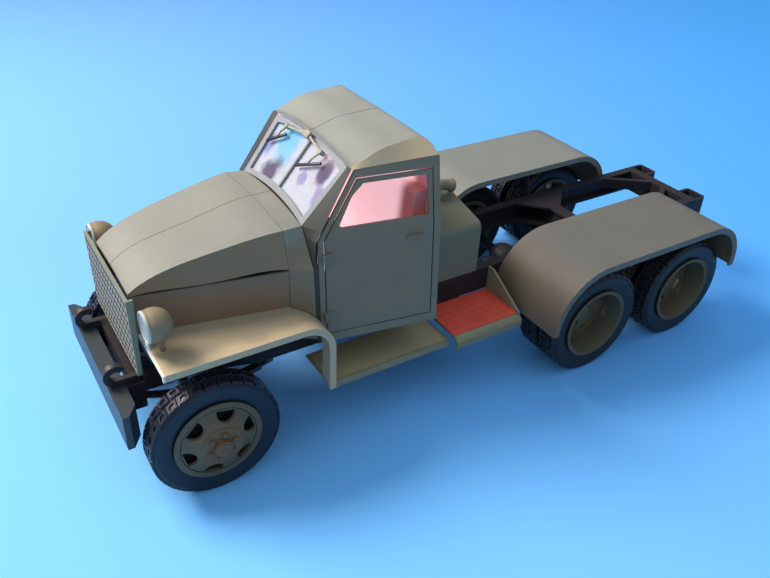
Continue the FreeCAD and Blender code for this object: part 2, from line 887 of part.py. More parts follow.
def make_front_axle():
    body = new_body("front_axle")
    side = sketch_on(body, "XY_Plane", "housing", AXLE_Z)
    x = FRONT_X
    tube = S.axle_tube_radius
    bulge = S.front_diff_radius
    y = S.drive_line_y
    reach = S.kingpin_half - S.kingpin_boss / 2
    spread = bulge * 1.15
    outline(side, (0, -reach), (tube, -reach), (tube, y - spread),
            (bulge, y, spread), (tube, y + spread, spread), (tube, reach), (0, reach))
    turned(body, side)
    ends = sketch_on(body, "XY_Plane", "bosses", AXLE_Z - S.kingpin_boss_height / 2)
    for sign in (1, -1):
        circle(ends, 0, sign * S.kingpin_half, S.kingpin_boss)
    pad(body, ends, S.kingpin_boss_height)
    bores = sketch_on(body, "XY_Plane", "bores", AXLE_Z - S.kingpin_boss_height / 2)
    for sign in (1, -1):
        circle(bores, 0, sign * S.kingpin_half, S.kingpin_radius + S.bore_clearance)
    pocket(body, bores, S.kingpin_boss_height, reverse=True)
    nose = sketch_on(body, "YZ_Plane", "nose", -bulge - S.axle_tube_radius)
    circle(nose, y, AXLE_Z, S.joint_radius)
    pad(body, nose, bulge)
    place(body, x=x)
    node("front_axle", body)


def make_rear_axle(which):
    body = new_body("rear_axle_" + which)
    side = sketch_on(body, "XY_Plane", "housing", AXLE_Z)
    tube = S.rear_tube_radius
    bulge = S.rear_diff_radius
    y = S.drive_line_y
    spread = bulge * 1.15
    flange = S.twin_centre - S.twin_spacing / 2 - S.tyre_width / 2 - S.knuckle_gap
    reach = S.twin_centre + S.rear_hub_reach - S.disc_wall
    spindle = S.spindle_radius
    outline(side, (0, -reach), (spindle, -reach), (spindle, -flange), (tube, -flange),
            (tube, y - spread), (bulge, y, spread), (tube, y + spread, spread),
            (tube, flange), (spindle, flange), (spindle, reach), (0, reach))
    turned(body, side)
    nose = sketch_on(body, "YZ_Plane", "nose")
    circle(nose, y, AXLE_Z, S.joint_radius)
    pad(body, nose, 2 * (bulge + S.axle_tube_radius), both=True)
    return place(body, x=REAR_AXLE_X[which])


def make_rear_axles():
    node("rear_axles", group("rear_axles", make_rear_axle("front"), make_rear_axle("rear")))


def make_trunnion():
    """Cross tube that carries the rear springs, hung from both rails."""
    body = new_body("trunnion")
    tube = sketch_on(body, "XZ_Plane", "tube")
    circle(tube, BOGIE_X, S.trunnion_z, S.trunnion_radius)
    pad(body, tube, 2 * (S.rear_spring_half + S.spring_width / 2), both=True)
    for side in (1, -1):
        name = "hanger_left" if side > 0 else "hanger_right"
        start = side * S.rail_half if side < 0 else S.rail_half
        hanger = sketch_on(body, "XZ_Plane", name, -start)
        wide = S.trunnion_radius
        outline(hanger, (BOGIE_X - wide, S.trunnion_z), (BOGIE_X + wide, S.trunnion_z),
                (BOGIE_X + 2.4 * wide, S.rail_bottom), (BOGIE_X - 2.4 * wide, S.rail_bottom))
        pad(body, hanger, S.rail_flange, reverse=side < 0)
    seat = sketch_on(body, "XZ_Plane", "seats")
    top = AXLE_Z + S.rear_tube_radius + S.leaf + S.rear_spring_arc
    rise = root(S.rear_spring_arc * S.rear_spring_arc - S.rear_spring_end * S.rear_spring_end)
    saddle = top - rise - S.seat_gap
    wide = S.trunnion_radius
    box_outline(seat, BOGIE_X - wide, S.trunnion_z, BOGIE_X + wide, saddle)
    pad(body, seat, 2 * (S.rear_spring_half + S.spring_width / 2), both=True)
    middle = sketch_on(body, "XZ_Plane", "between_seats")
    box_outline(middle, BOGIE_X - wide * 1.1, S.trunnion_z + wide, BOGIE_X + wide * 1.1,
                saddle + S.leaf)
    pocket(body, middle, 2 * (S.rear_spring_half - S.spring_width / 2), both=True)
    node("trunnion", body)


def make_prop_shafts():
    """Shafts with a thicker joint at each end, all on the drive line."""
    body = new_body("prop_shafts")
    side = sketch_on(body, "XY_Plane", "profiles")
    front_nose = aft(S.front_diff_radius + S.axle_tube_radius)
    axle_nose = S.rear_diff_radius + S.axle_tube_radius
    spans = [
        (front_nose, aft(S.transfer_front_aft)),
        (aft(S.transfer_rear_aft), REAR_AXLE_X["front"] + axle_nose),
        (REAR_AXLE_X["front"] - axle_nose, REAR_AXLE_X["rear"] + axle_nose),
    ]
    thin = S.shaft_radius
    thick = S.joint_radius
    for start, end in spans:
        joint = S.joint_radius * 1.3
        outline(side, (start, 0), (start, thick), (start - joint, thick),
                (start - joint - thin, thin), (end + joint + thin, thin),
                (end + joint, thick), (end, thick), (end, 0))
    turned(body, side, "H_Axis")
    place(body, y=S.drive_line_y, z=AXLE_Z)
    node("prop_shafts", body)


def make_block(name, front, rear, half, low, high, corner, y=0):
    """A housing with its long edges chamfered."""
    body = new_body(name)
    face = sketch_on(body, "YZ_Plane", "face", rear)
    centre = as_size(y)
    left, right = centre + half, centre - half
    outline(face, (right + corner, low), (left - corner, low), (left, low + corner),
            (left, high - corner), (left - corner, high), (right + corner, high),
            (right, high - corner), (right, low + corner))
    pad(body, face, front - rear)
    node(name, body)
    return body


def make_engine_and_boxes():
    make_block("engine", ahead(S.engine_front_ahead), aft(S.engine_rear_aft), S.engine_half,
               S.engine_bottom, S.engine_top, S.rail_flange)
    make_block("gearbox", aft(S.engine_rear_aft), aft(S.gearbox_rear_aft), S.gearbox_half,
               S.gearbox_bottom, S.rail_top, S.rail_flange / 2)
    transfer_mid = (S.drive_line_y + RAIL_INNER) / 2
    make_block("transfer_case", aft(S.transfer_front_aft), aft(S.transfer_rear_aft),
               (RAIL_INNER - S.drive_line_y) / 2 + S.joint_radius / 2, S.transfer_bottom,
               S.rail_bottom - S.seat_gap, S.rail_flange / 2, transfer_mid)


# Tank behind the cab, and its filler

FILLER_FOOT = S.tank_top + S.tank_rise + S.seat_gap


def make_tank():
    """Tank across the rails, with a ridged top and rounded upper edges."""
    body = new_body("fuel_tank")
    rear = aft(S.tank_rear_aft)
    face = sketch_on(body, "YZ_Plane", "face", rear)
    low = S.rail_top
    half = S.rail_half
    corner = S.tank_corner
    slope = S.tank_rise / half
    shoulder = S.tank_top + slope * corner
    outline(face, (half, low), (half, S.tank_top - corner), (half - corner, shoulder, corner * 1.2),
            (0, S.tank_top + S.tank_rise), (corner - half, shoulder),
            (-half, S.tank_top - corner, corner * 1.2), (-half, low))
    pad(body, face, aft(S.cab_rear_aft) - S.seat_gap - rear)
    seat = sketch_on(body, "XY_Plane", "filler_seat", S.tank_top - corner)
    circle(seat, aft(S.filler_aft), S.filler_y, S.filler_seat_radius)
    pad(body, seat, FILLER_FOOT - S.seat_gap / 2 - S.tank_top + corner)
    node("fuel_tank", body)


def make_filler():
    """Filler pipe: a short neck, a quarter bend and a cap that faces left."""
    body = new_body("tank_filler")
    bend = S.filler_bend
    mouth = sketch_on(body, "XY_Plane", "mouth")
    circle(mouth, 0, -bend, S.filler_radius)
    elbow = turned(body, mouth, "H_Axis")
    elbow.Angle = 90
    elbow.Reversed = True
    neck = sketch_on(body, "XY_Plane", "neck", -S.filler_neck)
    circle(neck, 0, -bend, S.filler_radius)
    pad(body, neck, S.filler_neck)
    cap = sketch_on(body, "XZ_Plane", "cap")
    circle(cap, 0, bend, S.filler_cap_radius)
    pad(body, cap, S.filler_cap_length, reverse=True)
    place(body, x=aft(S.filler_aft), y=S.filler_y + bend, z=FILLER_FOOT + S.filler_neck)
    node("tank_filler", body)


# Bonnet and cowl: crowned shells lofted through stations

def crowned_outline(sketch, corners, crown, wall):
    """Section of a crowned shell: corners of the left side from the foot up."""
    half, crease = corners[-1]
    rise = crown - crease
    radius = (half * half + rise * rise) / (2 * rise)
    inner_half = half - wall
    inner_radius = (inner_half * inner_half + rise * rise) / (2 * rise)
    outer_left = list(corners)
    outer_right = [(-y, z) for y, z in reversed(corners)]
    inner = []
    for index, (y, z) in enumerate(corners):
        lowered = z if index == 0 else z - wall
        inner.append((y - wall, lowered))
    points = list(outer_left)
    first_right = outer_right[0]
    points.append((first_right[0], first_right[1], radius))
    points.extend(outer_right[1:])
    points.extend([(-y, z) for y, z in inner])
    last_inner = inner[-1]
    points.append((last_inner[0], last_inner[1], -inner_radius))
    points.extend(reversed(inner[:-1]))
    return outline(sketch, *points)


def make_bonnet():
    body = new_body("bonnet")
    length = S.bonnet_ahead + S.cowl_aft
    seam = S.bonnet_seam + S.bonnet_seam_gap
    stations = [
        (ahead(S.bonnet_ahead), S.bonnet_front_crease, S.bonnet_front_crown),
        (ahead(S.bonnet_nose_ahead), S.bonnet_nose_crease, S.bonnet_nose_crown),
        (ahead(S.bonnet_brow_ahead), S.bonnet_brow_crease, S.bonnet_brow_crown),
        (aft(S.bonnet_mid_aft), S.bonnet_mid_crease, S.bonnet_mid_crown),
        (aft(S.cowl_aft), S.bonnet_rear_crease, S.bonnet_rear_crown),
    ]
    sections = []
    for number, (x, crease, crown) in enumerate(stations):
        along = (ahead(S.bonnet_ahead) - x) / length
        seam_half = S.bonnet_front_half + (S.bonnet_rear_half - S.bonnet_front_half) * along
        crease_half = S.crease_front_half + (S.crease_rear_half - S.crease_front_half) * along
        section = sketch_on(body, "YZ_Plane", "section%d" % number, x)
        foot = seam if number else S.bonnet_seam - S.bonnet_seam_gap
        corners = [(seam_half, foot), (crease_half, crease)]
        sections.append(crowned_outline(section, corners, crown, S.bonnet_wall))
    loft(body, "shell", sections)
    node("bonnet", body)


def make_bonnet_sides():
    body = new_body("bonnet_side_left")
    plan = sketch_on(body, "XY_Plane", "plan", S.bonnet_side_foot)
    front = ahead(S.bonnet_ahead)
    rear = aft(S.cowl_aft)
    outline(plan, (front, S.bonnet_front_half), (rear, S.bonnet_rear_half),
            (rear, S.bonnet_rear_half - S.bonnet_wall),
            (front, S.bonnet_front_half - S.bonnet_wall))
    pad(body, plan, S.bonnet_seam - S.bonnet_seam_gap - S.bonnet_side_foot)
    node("bonnet_sides", pair("bonnet_sides", body))


def side_half(aft_distance, z):
    """Half width of the cab's flared and leaning side at a place."""
    spread = sine(S.cab_flare) / cosine(S.cab_flare)
    lean = sine(S.cab_lean) / (cosine(S.cab_lean) * cosine(S.cab_flare))
    return S.cab_half + spread * (aft_distance - S.door_aft) - lean * (z - S.cab_foot)


def upper_half(aft_distance, z):
    """Half width above the belt, where the side leans in further."""
    angle = S.cab_lean + S.cab_tumble
    lean = sine(angle) / (cosine(angle) * cosine(S.cab_flare))
    return side_half(aft_distance, S.door_bend_z) - lean * (z - S.door_bend_z)


def make_cowl():
    body = new_body("cowl")
    front = sketch_on(body, "YZ_Plane", "front", aft(S.cowl_aft + S.seat_gap))
    wall = S.bonnet_wall
    crowned_outline(front, [(S.bonnet_rear_half + S.leaf, S.cab_foot),
                            (S.bonnet_rear_half, S.bonnet_seam),
                            (S.crease_rear_half, S.bonnet_rear_crease)],
                    S.bonnet_rear_crown, wall)
    back = sketch_on(body, "YZ_Plane", "back", aft(S.screen_aft))
    crowned_outline(back, [(side_half(S.screen_aft, S.cab_foot), S.cab_foot),
                           (side_half(S.screen_aft, S.bonnet_seam), S.bonnet_seam),
                           (S.screen_half, S.screen_foot)],
                    S.screen_foot + S.screen_foot_arch, wall)
    loft(body, "shell", [front, back], ruled=True)
    wall_plate = sketch_on(body, "YZ_Plane", "bulkhead", aft(S.cowl_aft + S.seat_gap + S.card))
    half = S.bonnet_rear_half - wall / 2
    outline(wall_plate, (-half, S.cab_foot), (half, S.cab_foot), (half, S.bonnet_seam),
            (S.crease_rear_half - wall, S.bonnet_rear_crease - wall / 2),
            (wall - S.crease_rear_half, S.bonnet_rear_crease - wall / 2), (-half, S.bonnet_seam))
    pad(body, wall_plate, S.card)
    node("cowl", body)


# Cab sides and doors lie in one flared and leaning plane, which bends in at the belt

def on_side(aft_distance, z):
    """A point of the side plane, along the panel and up it."""
    return ((S.door_aft - aft_distance) / cosine(S.cab_flare),
            (z - S.cab_foot) / cosine(S.cab_lean))


def side_body(name):
    body = new_body(name)
    return place(body, x=aft(S.door_aft), y=S.cab_half, z=S.cab_foot,
                 axis=Vector(0, 0, -1), angle=S.cab_flare)


def side_sketch(body, name, depth=0):
    return sketch_on(body, "XZ_Plane", name, depth, tilt=S.cab_lean)


def on_upper(aft_distance, z):
    """A point of the side above the belt, along the panel and up it."""
    return ((S.door_aft - aft_distance) / cosine(S.cab_flare),
            (z - S.door_bend_z) / cosine(S.cab_lean + S.cab_tumble))


def upper_sketch(body, name, depth=0):
    rise = S.door_bend_z - S.cab_foot
    inward = rise * sine(S.cab_lean) / cosine(S.cab_lean)
    return sketch_on(body, "XZ_Plane", name, inward + depth, S.cab_lean + S.cab_tumble, rise)


def door_lower(sketch, gap):
    """The door up to the belt, or the opening round it when gap is the clearance."""
    return outline(
        sketch,
        on_side(S.door_aft - gap, S.door_foot - gap),
        on_side(S.door_rear_aft + gap, S.door_foot - gap),
        on_side(S.door_rear_aft + gap, S.door_bend_z),
        on_side(S.door_aft - gap, S.door_bend_z))


def door_upper(sketch, gap):
    return outline(
        sketch,
        on_upper(S.door_aft - gap, S.door_bend_z),
        on_upper(S.door_rear_aft + gap, S.door_bend_z),
        on_upper(S.door_rear_aft + gap, S.door_head_rear + gap),
        on_upper(S.door_head_aft - gap, S.door_head_front + gap))


def corner_edge(z):
    """Where the cab side's front edge lies, which slants back above the belt."""
    slant = (S.door_head_aft - S.door_aft) / (S.door_head_front - S.door_bend_z)
    return S.cab_corner_aft + slant * (z - S.door_bend_z)


def seam_height(distance):
    """Height of the roof's lower edge, which climbs towards the rear."""
    along = (distance - S.screen_top_aft) / (S.cab_rear_aft - S.screen_top_aft)
    return S.roof_seam_front + (S.roof_seam_rear - S.roof_seam_front) * along


def make_cab_sides():
    body = side_body("cab_side_left")
    side = side_sketch(body, "side")
    low = S.cab_foot - 2 * S.card
    outline(side, on_side(S.cab_corner_aft, low), on_side(S.cab_rear_aft, low),
            on_side(S.cab_rear_aft, S.door_bend_z), on_side(S.cab_corner_aft, S.door_bend_z))
    pad(body, side, S.cab_wall)
    upper = upper_sketch(body, "upper")
    head = S.roof_seam_front - S.seat_gap
    outline(upper, on_upper(S.cab_corner_aft, S.door_bend_z),
            on_upper(S.cab_rear_aft, S.door_bend_z),
            on_upper(S.cab_rear_aft, S.roof_seam_rear - S.seat_gap),
            on_upper(corner_edge(head), head))
    pad(body, upper, S.cab_wall)
    hole = door_lower(side_sketch(body, "doorway"), as_size(0))
    pocket(body, hole, S.cab_wall, reverse=True)
    window_hole = door_upper(upper_sketch(body, "doorway_top"), as_size(0))
    pocket(body, window_hole, S.cab_wall, reverse=True)
    node("cab_sides", pair("cab_sides", body))


def make_doors():
    body = side_body("door_left")
    gap = S.door_gap
    panel = door_lower(side_sketch(body, "panel", -S.seat_gap), -gap)
    pad(body, panel, S.door_thickness)
    upper = door_upper(upper_sketch(body, "upper", -S.seat_gap), -gap)
    pad(body, upper, S.door_thickness)
    window = upper_sketch(body, "window", -S.seat_gap)
    outline(window, on_upper(S.window_front_aft, S.window_foot),
            on_upper(S.window_rear_aft, S.window_foot),
            on_upper(S.window_rear_aft, S.window_head),
            on_upper(S.window_head_aft, S.window_head),
            on_upper(S.window_mid_aft, S.window_mid_z))
    pocket(body, window, S.door_thickness, reverse=True)
    handle = side_sketch(body, "handle", -S.seat_gap - S.card)
    start = on_side(S.handle_aft, S.handle_z)
    end = on_side(S.handle_aft + S.handle_length, S.handle_z)
    box_outline(handle, end[0], end[1] - S.leaf / 2, start[0], start[1] + S.leaf / 2)
    pad(body, handle, S.card)
    for name, z in (("hinge_low", S.hinge_low_z), ("hinge_high", S.hinge_high_z)):
        foot = on_side(S.door_aft, z - S.hinge_length / 2)[1]
        head = on_side(S.door_aft, z + S.hinge_length / 2)[1]
        leaf = side_sketch(body, name + "_leaf", -S.hinge_out)
        box_outline(leaf, -S.hinge_leaf_width, foot, -S.door_gap, head)
        pad(body, leaf, S.hinge_out - S.seat_gap)
        barrel = side_sketch(body, name, -S.hinge_out)
        box_outline(barrel, 0, foot, S.hinge_radius, head)
        turned(body, barrel)
    node("door_left", body)
    node("door_right", mirror_of(body, "door_right"))


def make_cab_rear_wall():
    body = new_body("cab_rear_wall")
    face = sketch_on(body, "YZ_Plane", "face", aft(S.cab_rear_aft))
    low = S.cab_foot - 2 * S.card
    high = S.roof_seam_rear - S.seat_gap
    inside = S.cab_wall + S.seat_gap
    front_aft = S.cab_rear_aft - S.cab_wall
    belt = S.door_bend_z
    half_low = side_half(front_aft, low) - inside
    half_belt = side_half(front_aft, belt) - inside
    half_high = upper_half(front_aft, high) - inside
    outline(face, (-half_low, low), (half_low, low), (half_belt, belt), (half_high, high),
            (-half_high, high), (-half_belt, belt))
    pad(body, face, S.cab_wall)
    window = sketch_on(body, "YZ_Plane", "window", aft(S.cab_rear_aft))
    half = S.rear_window_half
    box_outline(window, -half, S.window_foot, half, S.window_head - S.card)
    pocket(body, window, S.cab_wall, reverse=True)
    node("cab_rear_wall", body)


def make_cab_floor():
    body = new_body("cab_floor")
    plan = sketch_on(body, "XY_Plane", "plan", S.floor_z - S.card)
    front = aft(S.cowl_aft + S.card + 2 * S.seat_gap)
    rear = aft(S.cab_rear_aft) + S.cab_wall + S.seat_gap
    inside = S.cab_wall + S.seat_gap
    front_half = S.bonnet_rear_half - S.card - S.seat_gap
    rear_half = side_half(S.cab_rear_aft - S.cab_wall, S.cab_foot) - inside
    outline(plan, (rear, -rear_half), (front, -front_half), (front, front_half),
            (rear, rear_half))
    pad(body, plan, S.card)
    node("cab_floor", body)


def roof_section(sketch, seam_half, crease_half, seam, crease, crown):
    rise = crown - crease
    radius = (crease_half * crease_half + rise * rise) / (2 * rise)
    return outline(sketch, (seam_half, seam), (crease_half, crease),
                   (-crease_half, crease, radius), (-seam_half, seam))


def make_roof():
    """Crowned roof with cheeks that lean in and a rounded rear edge."""
    body = new_body("roof")
    early_aft = (2 * S.screen_top_aft + S.roof_crest_aft) / 3
    middle_aft = (S.screen_top_aft + 2 * S.roof_crest_aft) / 3
    late_aft = (S.roof_crest_aft + 4 * S.cab_rear_aft) / 5
    end_aft = S.cab_rear_aft + S.card
    climb = S.roof_crest_rise - S.roof_front_rise
    fall = S.roof_crest_crown - S.roof_front_crown
    # Each station: place, rise of the crease, rise of the crown above it, lean of the cheek
    stations = [
        (S.screen_top_aft, S.roof_front_rise, S.roof_front_crown, S.roof_cheek * 0.25),
        (early_aft, S.roof_front_rise + climb * 0.6, S.roof_front_crown + fall * 0.5,
         S.roof_cheek * 0.4),
        (middle_aft, S.roof_front_rise + climb * 0.92, S.roof_front_crown + fall * 0.8,
         S.roof_cheek * 0.7),
        (S.roof_crest_aft, S.roof_crest_rise, S.roof_crest_crown, S.roof_cheek),
        (late_aft, S.roof_rear_rise, S.roof_rear_crown, S.roof_cheek * 0.9),
        (end_aft, S.card / 2, S.card / 4, S.roof_cheek * 0.3),
    ]
    outer = []
    inner = []
    wall = S.roof_wall
    last = len(stations) - 1
    for number, (distance, rise, swell, cheek) in enumerate(stations):
        seam = seam_height(distance)
        crease = seam + rise
        crown = crease + swell
        seam_half = upper_half(distance, seam)
        section = sketch_on(body, "YZ_Plane", "outer%d" % number, aft(distance))
        outer.append(roof_section(section, seam_half, seam_half - cheek, seam, crease, crown))
        nearer = distance - wall if number == last else distance
        roof_foot = seam - S.leaf
        drop = max_size(crease - wall, roof_foot + S.leaf / 4)
        cap = max_size(crown - wall, roof_foot + S.leaf / 2)
        hollow = sketch_on(body, "YZ_Plane", "inner%d" % number, aft(nearer))
        inner.append(roof_section(hollow, seam_half - wall, seam_half - cheek - wall,
                                  roof_foot, drop, cap))
    loft(body, "shell", outer)
    loft(body, "hollow", inner, kind="SubtractiveLoft")
    node("roof", body)


# Windscreen: frame and film lie in one sloping plane

SCREEN_BACK = S.screen_top_aft - S.screen_aft
SCREEN_RISE = S.screen_head - S.screen_foot
SCREEN_HEIGHT = root(SCREEN_BACK * SCREEN_BACK + SCREEN_RISE * SCREEN_RISE)


def on_screen(body):
    """Moves a piece drawn upright into the windscreen's sloping plane."""
    return place(body, x=aft(S.screen_aft), z=S.screen_foot, axis=Vector(0, -1, 0),
                 angle=slope_angle(SCREEN_BACK, SCREEN_RISE))


def screen_outline(sketch, border):
    """The screen's outline, drawn smaller by border, with an arched head and foot."""
    low_half = S.screen_half - border
    high_half = S.screen_top_half - border
    foot_rise = S.screen_foot_arch
    head_rise = S.screen_head_arch
    foot_arc = (low_half * low_half + foot_rise * foot_rise) / (2 * foot_rise)
    head_arc = (high_half * high_half + head_rise * head_rise) / (2 * head_rise)
    return outline(sketch, (low_half, border, -foot_arc), (high_half, SCREEN_HEIGHT - border),
                   (-high_half, SCREEN_HEIGHT - border, head_arc), (-low_half, border))


def make_windscreen():
    body = new_body("windscreen_frame")
    face = sketch_on(body, "YZ_Plane", "face", -S.card)
    screen_outline(face, as_size(0))
    pad(body, face, S.card)
    light = sketch_on(body, "YZ_Plane", "light", -S.card)
    screen_outline(light, S.screen_border)
    pocket(body, light, S.card, reverse=True)
    bar = sketch_on(body, "YZ_Plane", "bar", -S.card)
    box_outline(bar, -S.screen_bar / 2, S.screen_foot_arch + S.screen_border / 2,
                S.screen_bar / 2, SCREEN_HEIGHT)
    pad(body, bar, S.card)
    node("windscreen_frame", on_screen(body))
    film = new_body("windscreen_film")
    sheet_face = sketch_on(film, "YZ_Plane", "face", -S.card - S.screen_film)
    screen_outline(sheet_face, S.screen_border / 2)
    pad(film, sheet_face, S.screen_film)
    node("windscreen_film", on_screen(film))


def make_pillars():
    """Corner strips that join the cowl and the windscreen to the cab sides."""
    body = new_body("pillar_left")
    wall = S.cab_wall
    gap = S.seat_gap
    inner_aft = S.screen_aft + gap
    outer_aft = S.cab_corner_aft - gap
    sections = []
    # Below the bonnet's seam the strip lies flush with the side
    for name, z in (("foot", S.cab_foot - 2 * S.card), ("seam", S.bonnet_seam)):
        inner_half = side_half(inner_aft, z)
        outer_half = side_half(outer_aft, z)
        section = sketch_on(body, "XY_Plane", name, z)
        outline(section, (aft(inner_aft), inner_half), (aft(outer_aft), outer_half),
                (aft(outer_aft), outer_half - wall), (aft(inner_aft), inner_half - wall))
        sections.append(section)
    # Above it the strip turns across to the cowl's corner and the windscreen
    along = (S.door_bend_z - S.bonnet_seam) / (S.screen_foot - S.bonnet_seam)
    seam_half = side_half(S.screen_aft, S.bonnet_seam)
    belt_half = seam_half + (S.screen_half - seam_half) * along
    head = S.roof_seam_front - gap
    for name, z, near_aft, near_half in (
            ("belt", S.door_bend_z, inner_aft, belt_half + gap),
            ("screen_foot", S.screen_foot, inner_aft, S.screen_half + gap),
            ("head", head, S.screen_top_aft + gap, S.screen_top_half + gap)):
        far_aft = corner_edge(z) - gap
        far_half = upper_half(far_aft, z)
        section = sketch_on(body, "XY_Plane", name, z)
        outline(section, (aft(near_aft), near_half), (aft(far_aft), far_half),
                (aft(far_aft) - wall, far_half - wall - 3 * gap),
                (aft(near_aft) - wall, near_half))
        sections.append(section)
    loft(body, "strip", sections, ruled=True)
    node("pillars", pair("pillars", body))


def make_wipers():
    body = new_body("wiper_left")
    block = S.wiper_block
    face = sketch_on(body, "YZ_Plane", "block", S.seat_gap)
    top = SCREEN_HEIGHT - S.screen_border / 4
    box_outline(face, S.wiper_y - block / 2, top - block, S.wiper_y + block / 2, top)
    pad(body, face, block)
    arm = sketch_on(body, "YZ_Plane", "arm", S.seat_gap + S.wiper_bar)
    bar = S.wiper_bar
    outline(arm, (S.wiper_y, top - block / 2), (S.wiper_y + bar, top - block / 2),
            (S.wiper_y + 2 * bar, top - S.wiper_blade), (S.wiper_y + bar, top - S.wiper_blade))
    pad(body, arm, bar)
    blade = sketch_on(body, "YZ_Plane", "blade", S.seat_gap)
    box_outline(blade, S.wiper_y - S.wiper_blade / 2, top - S.wiper_blade,
                S.wiper_y + S.wiper_blade / 2, top - S.wiper_blade + 2 * bar)
    pad(body, blade, 2 * bar)
    on_screen(body)
    node("wipers", pair("wipers", body))


# Front end

def make_brush_guard():
    """Flat lattice of small slots in columns and rows."""
    body = new_body("brush_guard")
    face = sketch_on(body, "YZ_Plane", "face", ahead(S.guard_ahead))
    half = S.guard_half
    box_outline(face, -half, S.guard_foot, half, S.guard_head)
    pad(body, face, S.card)
    border = S.guard_border
    bar = S.guard_bar
    column = (2 * half - 2 * border + bar) / S.guard_columns
    row = (S.guard_head - S.guard_foot - 2 * border + bar) / S.guard_rows
    slot = sketch_on(body, "YZ_Plane", "slot", ahead(S.guard_ahead))
    box_outline(slot, border - half, S.guard_foot + border, border - half + column - bar,
                S.guard_foot + border + row - bar)
    cut = pocket(body, slot, S.card, reverse=True)
    grid = body.newObject("PartDesign::LinearPattern", "guard_grid")
    grid.Originals = [cut]
    grid.Direction = (slot, ["H_Axis"])
    grid.Length = (column * (S.guard_columns - 1)).number
    bind(grid, "Length", column * (S.guard_columns - 1))
    grid.Occurrences = int(S.guard_columns.number)
    bind(grid, "Occurrences", S.guard_columns)
    grid.Direction2 = (slot, ["V_Axis"])
    grid.Length2 = (row * (S.guard_rows - 1)).number
    bind(grid, "Length2", row * (S.guard_rows - 1))
    grid.Occurrences2 = int(S.guard_rows.number)
    bind(grid, "Occurrences2", S.guard_rows)
    body.Tip = grid
    fender_edge = ahead(S.fender_front_ahead) + S.seat_gap
    for side in (1, -1):
        name = "return_left" if side > 0 else "return_right"
        strip = sketch_on(body, "XY_Plane", name, S.guard_foot)
        box_outline(strip, fender_edge, side * (half - S.card), ahead(S.guard_ahead),
                    side * half)
        pad(body, strip, S.guard_head - S.guard_foot)
    node("brush_guard", body)


def make_radiator():
    body = new_body("radiator")
    half = S.bonnet_front_half - S.bonnet_wall - S.seat_gap
    face = sketch_on(body, "YZ_Plane", "face", ahead(S.radiator_ahead - S.radiator_depth))
    box_outline(face, -half, S.radiator_foot, half, S.bonnet_seam - S.bonnet_wall)
    pad(body, face, S.radiator_depth)
    node("radiator", body)


def make_headlamps():
    body = new_body("headlamp_left")
    side = sketch_on(body, "XY_Plane", "bowl")
    big = S.lamp_radius
    depth = S.lamp_depth
    bend = big * 1.12
    outline(side, (0, 0), (0, big), (-S.leaf, big), (-depth, S.leaf, bend), (-depth, 0))
    turned(body, side, "H_Axis")
    small = sketch_on(body, "XY_Plane", "small_lamp", -S.lamp_radius - S.small_lamp_radius / 2)
    rim = S.small_lamp_radius
    tail = S.small_lamp_depth
    outline(small, (0, 0), (0, rim), (-S.leaf, rim), (-tail, S.leaf), (-tail, 0))
    turned(body, small, "H_Axis")
    post = sketch_on(body, "XY_Plane", "post", S.fender_top - S.lamp_z)
    circle(post, -S.lamp_depth / 2, 0, S.lamp_post_radius)
    pad(body, post, S.lamp_z - S.fender_top - S.lamp_radius / 2)
    place(body, x=ahead(S.lamp_ahead), y=S.lamp_half, z=S.lamp_z)
    node("headlamps", pair("headlamps", body))
    lens = new_body("lens_left")
    face = sketch_on(lens, "YZ_Plane", "face")
    circle(face, 0, 0, S.lamp_radius)
    pad(lens, face, S.lens_thickness)
    place(lens, x=ahead(S.lamp_ahead), y=S.lamp_half, z=S.lamp_z)
    node("headlamp_lenses", pair("headlamp_lenses", lens))


# Mudguards: folded sheets with a lip along the edge

def make_front_fenders():
    body = new_body("front_fender_left")
    top = S.fender_top
    back = aft(S.fender_bend_aft + S.fender_bend)
    bend = S.fender_bend
    front = ahead(S.fender_front_ahead)
    wall = S.card
    lip = S.fender_lip
    foot = S.board_top
    inner = S.bonnet_front_half
    side = sketch_on(body, "XZ_Plane", "sheet", -inner)
    outline(side, (front, top), (back + bend, top), (back, top - bend, bend), (back, foot),
            (back + wall, foot), (back + wall, top - bend),
            (back + bend, top - wall, wall - bend), (front, top - wall))
    pad(body, side, S.fender_outer - inner, reverse=True)
    edge = sketch_on(body, "XZ_Plane", "lip", wall - S.fender_outer)
    outline(edge, (front, top), (back + bend, top), (back, top - bend, bend), (back, foot),
            (back + lip, foot), (back + lip, top - bend),
            (back + bend, top - lip, lip - bend), (front, top - lip))
    pad(body, edge, wall, reverse=True)
    cut = sketch_on(body, "XY_Plane", "bonnet_edge", S.bonnet_side_foot - S.fender_lip)
    rear = aft(S.cowl_aft)
    cowl_foot = S.bonnet_rear_half + S.leaf + S.seat_gap
    cab_low = S.cab_foot - 2 * S.card
    cab_aft = S.fender_bend_aft + S.fender_bend + wall
    outline(cut, (front + 2 * wall, inner - wall), (front + 2 * wall, inner),
            (ahead(S.bonnet_ahead), inner), (rear, S.bonnet_rear_half), (rear, cowl_foot),
            (aft(S.screen_aft), side_half(S.screen_aft, cab_low) + S.seat_gap),
            (aft(cab_aft), side_half(cab_aft, cab_low) + S.seat_gap),
            (aft(cab_aft), inner - wall))
    pocket(body, cut, S.fender_top, both=True)
    node("front_fenders", pair("front_fenders", body))


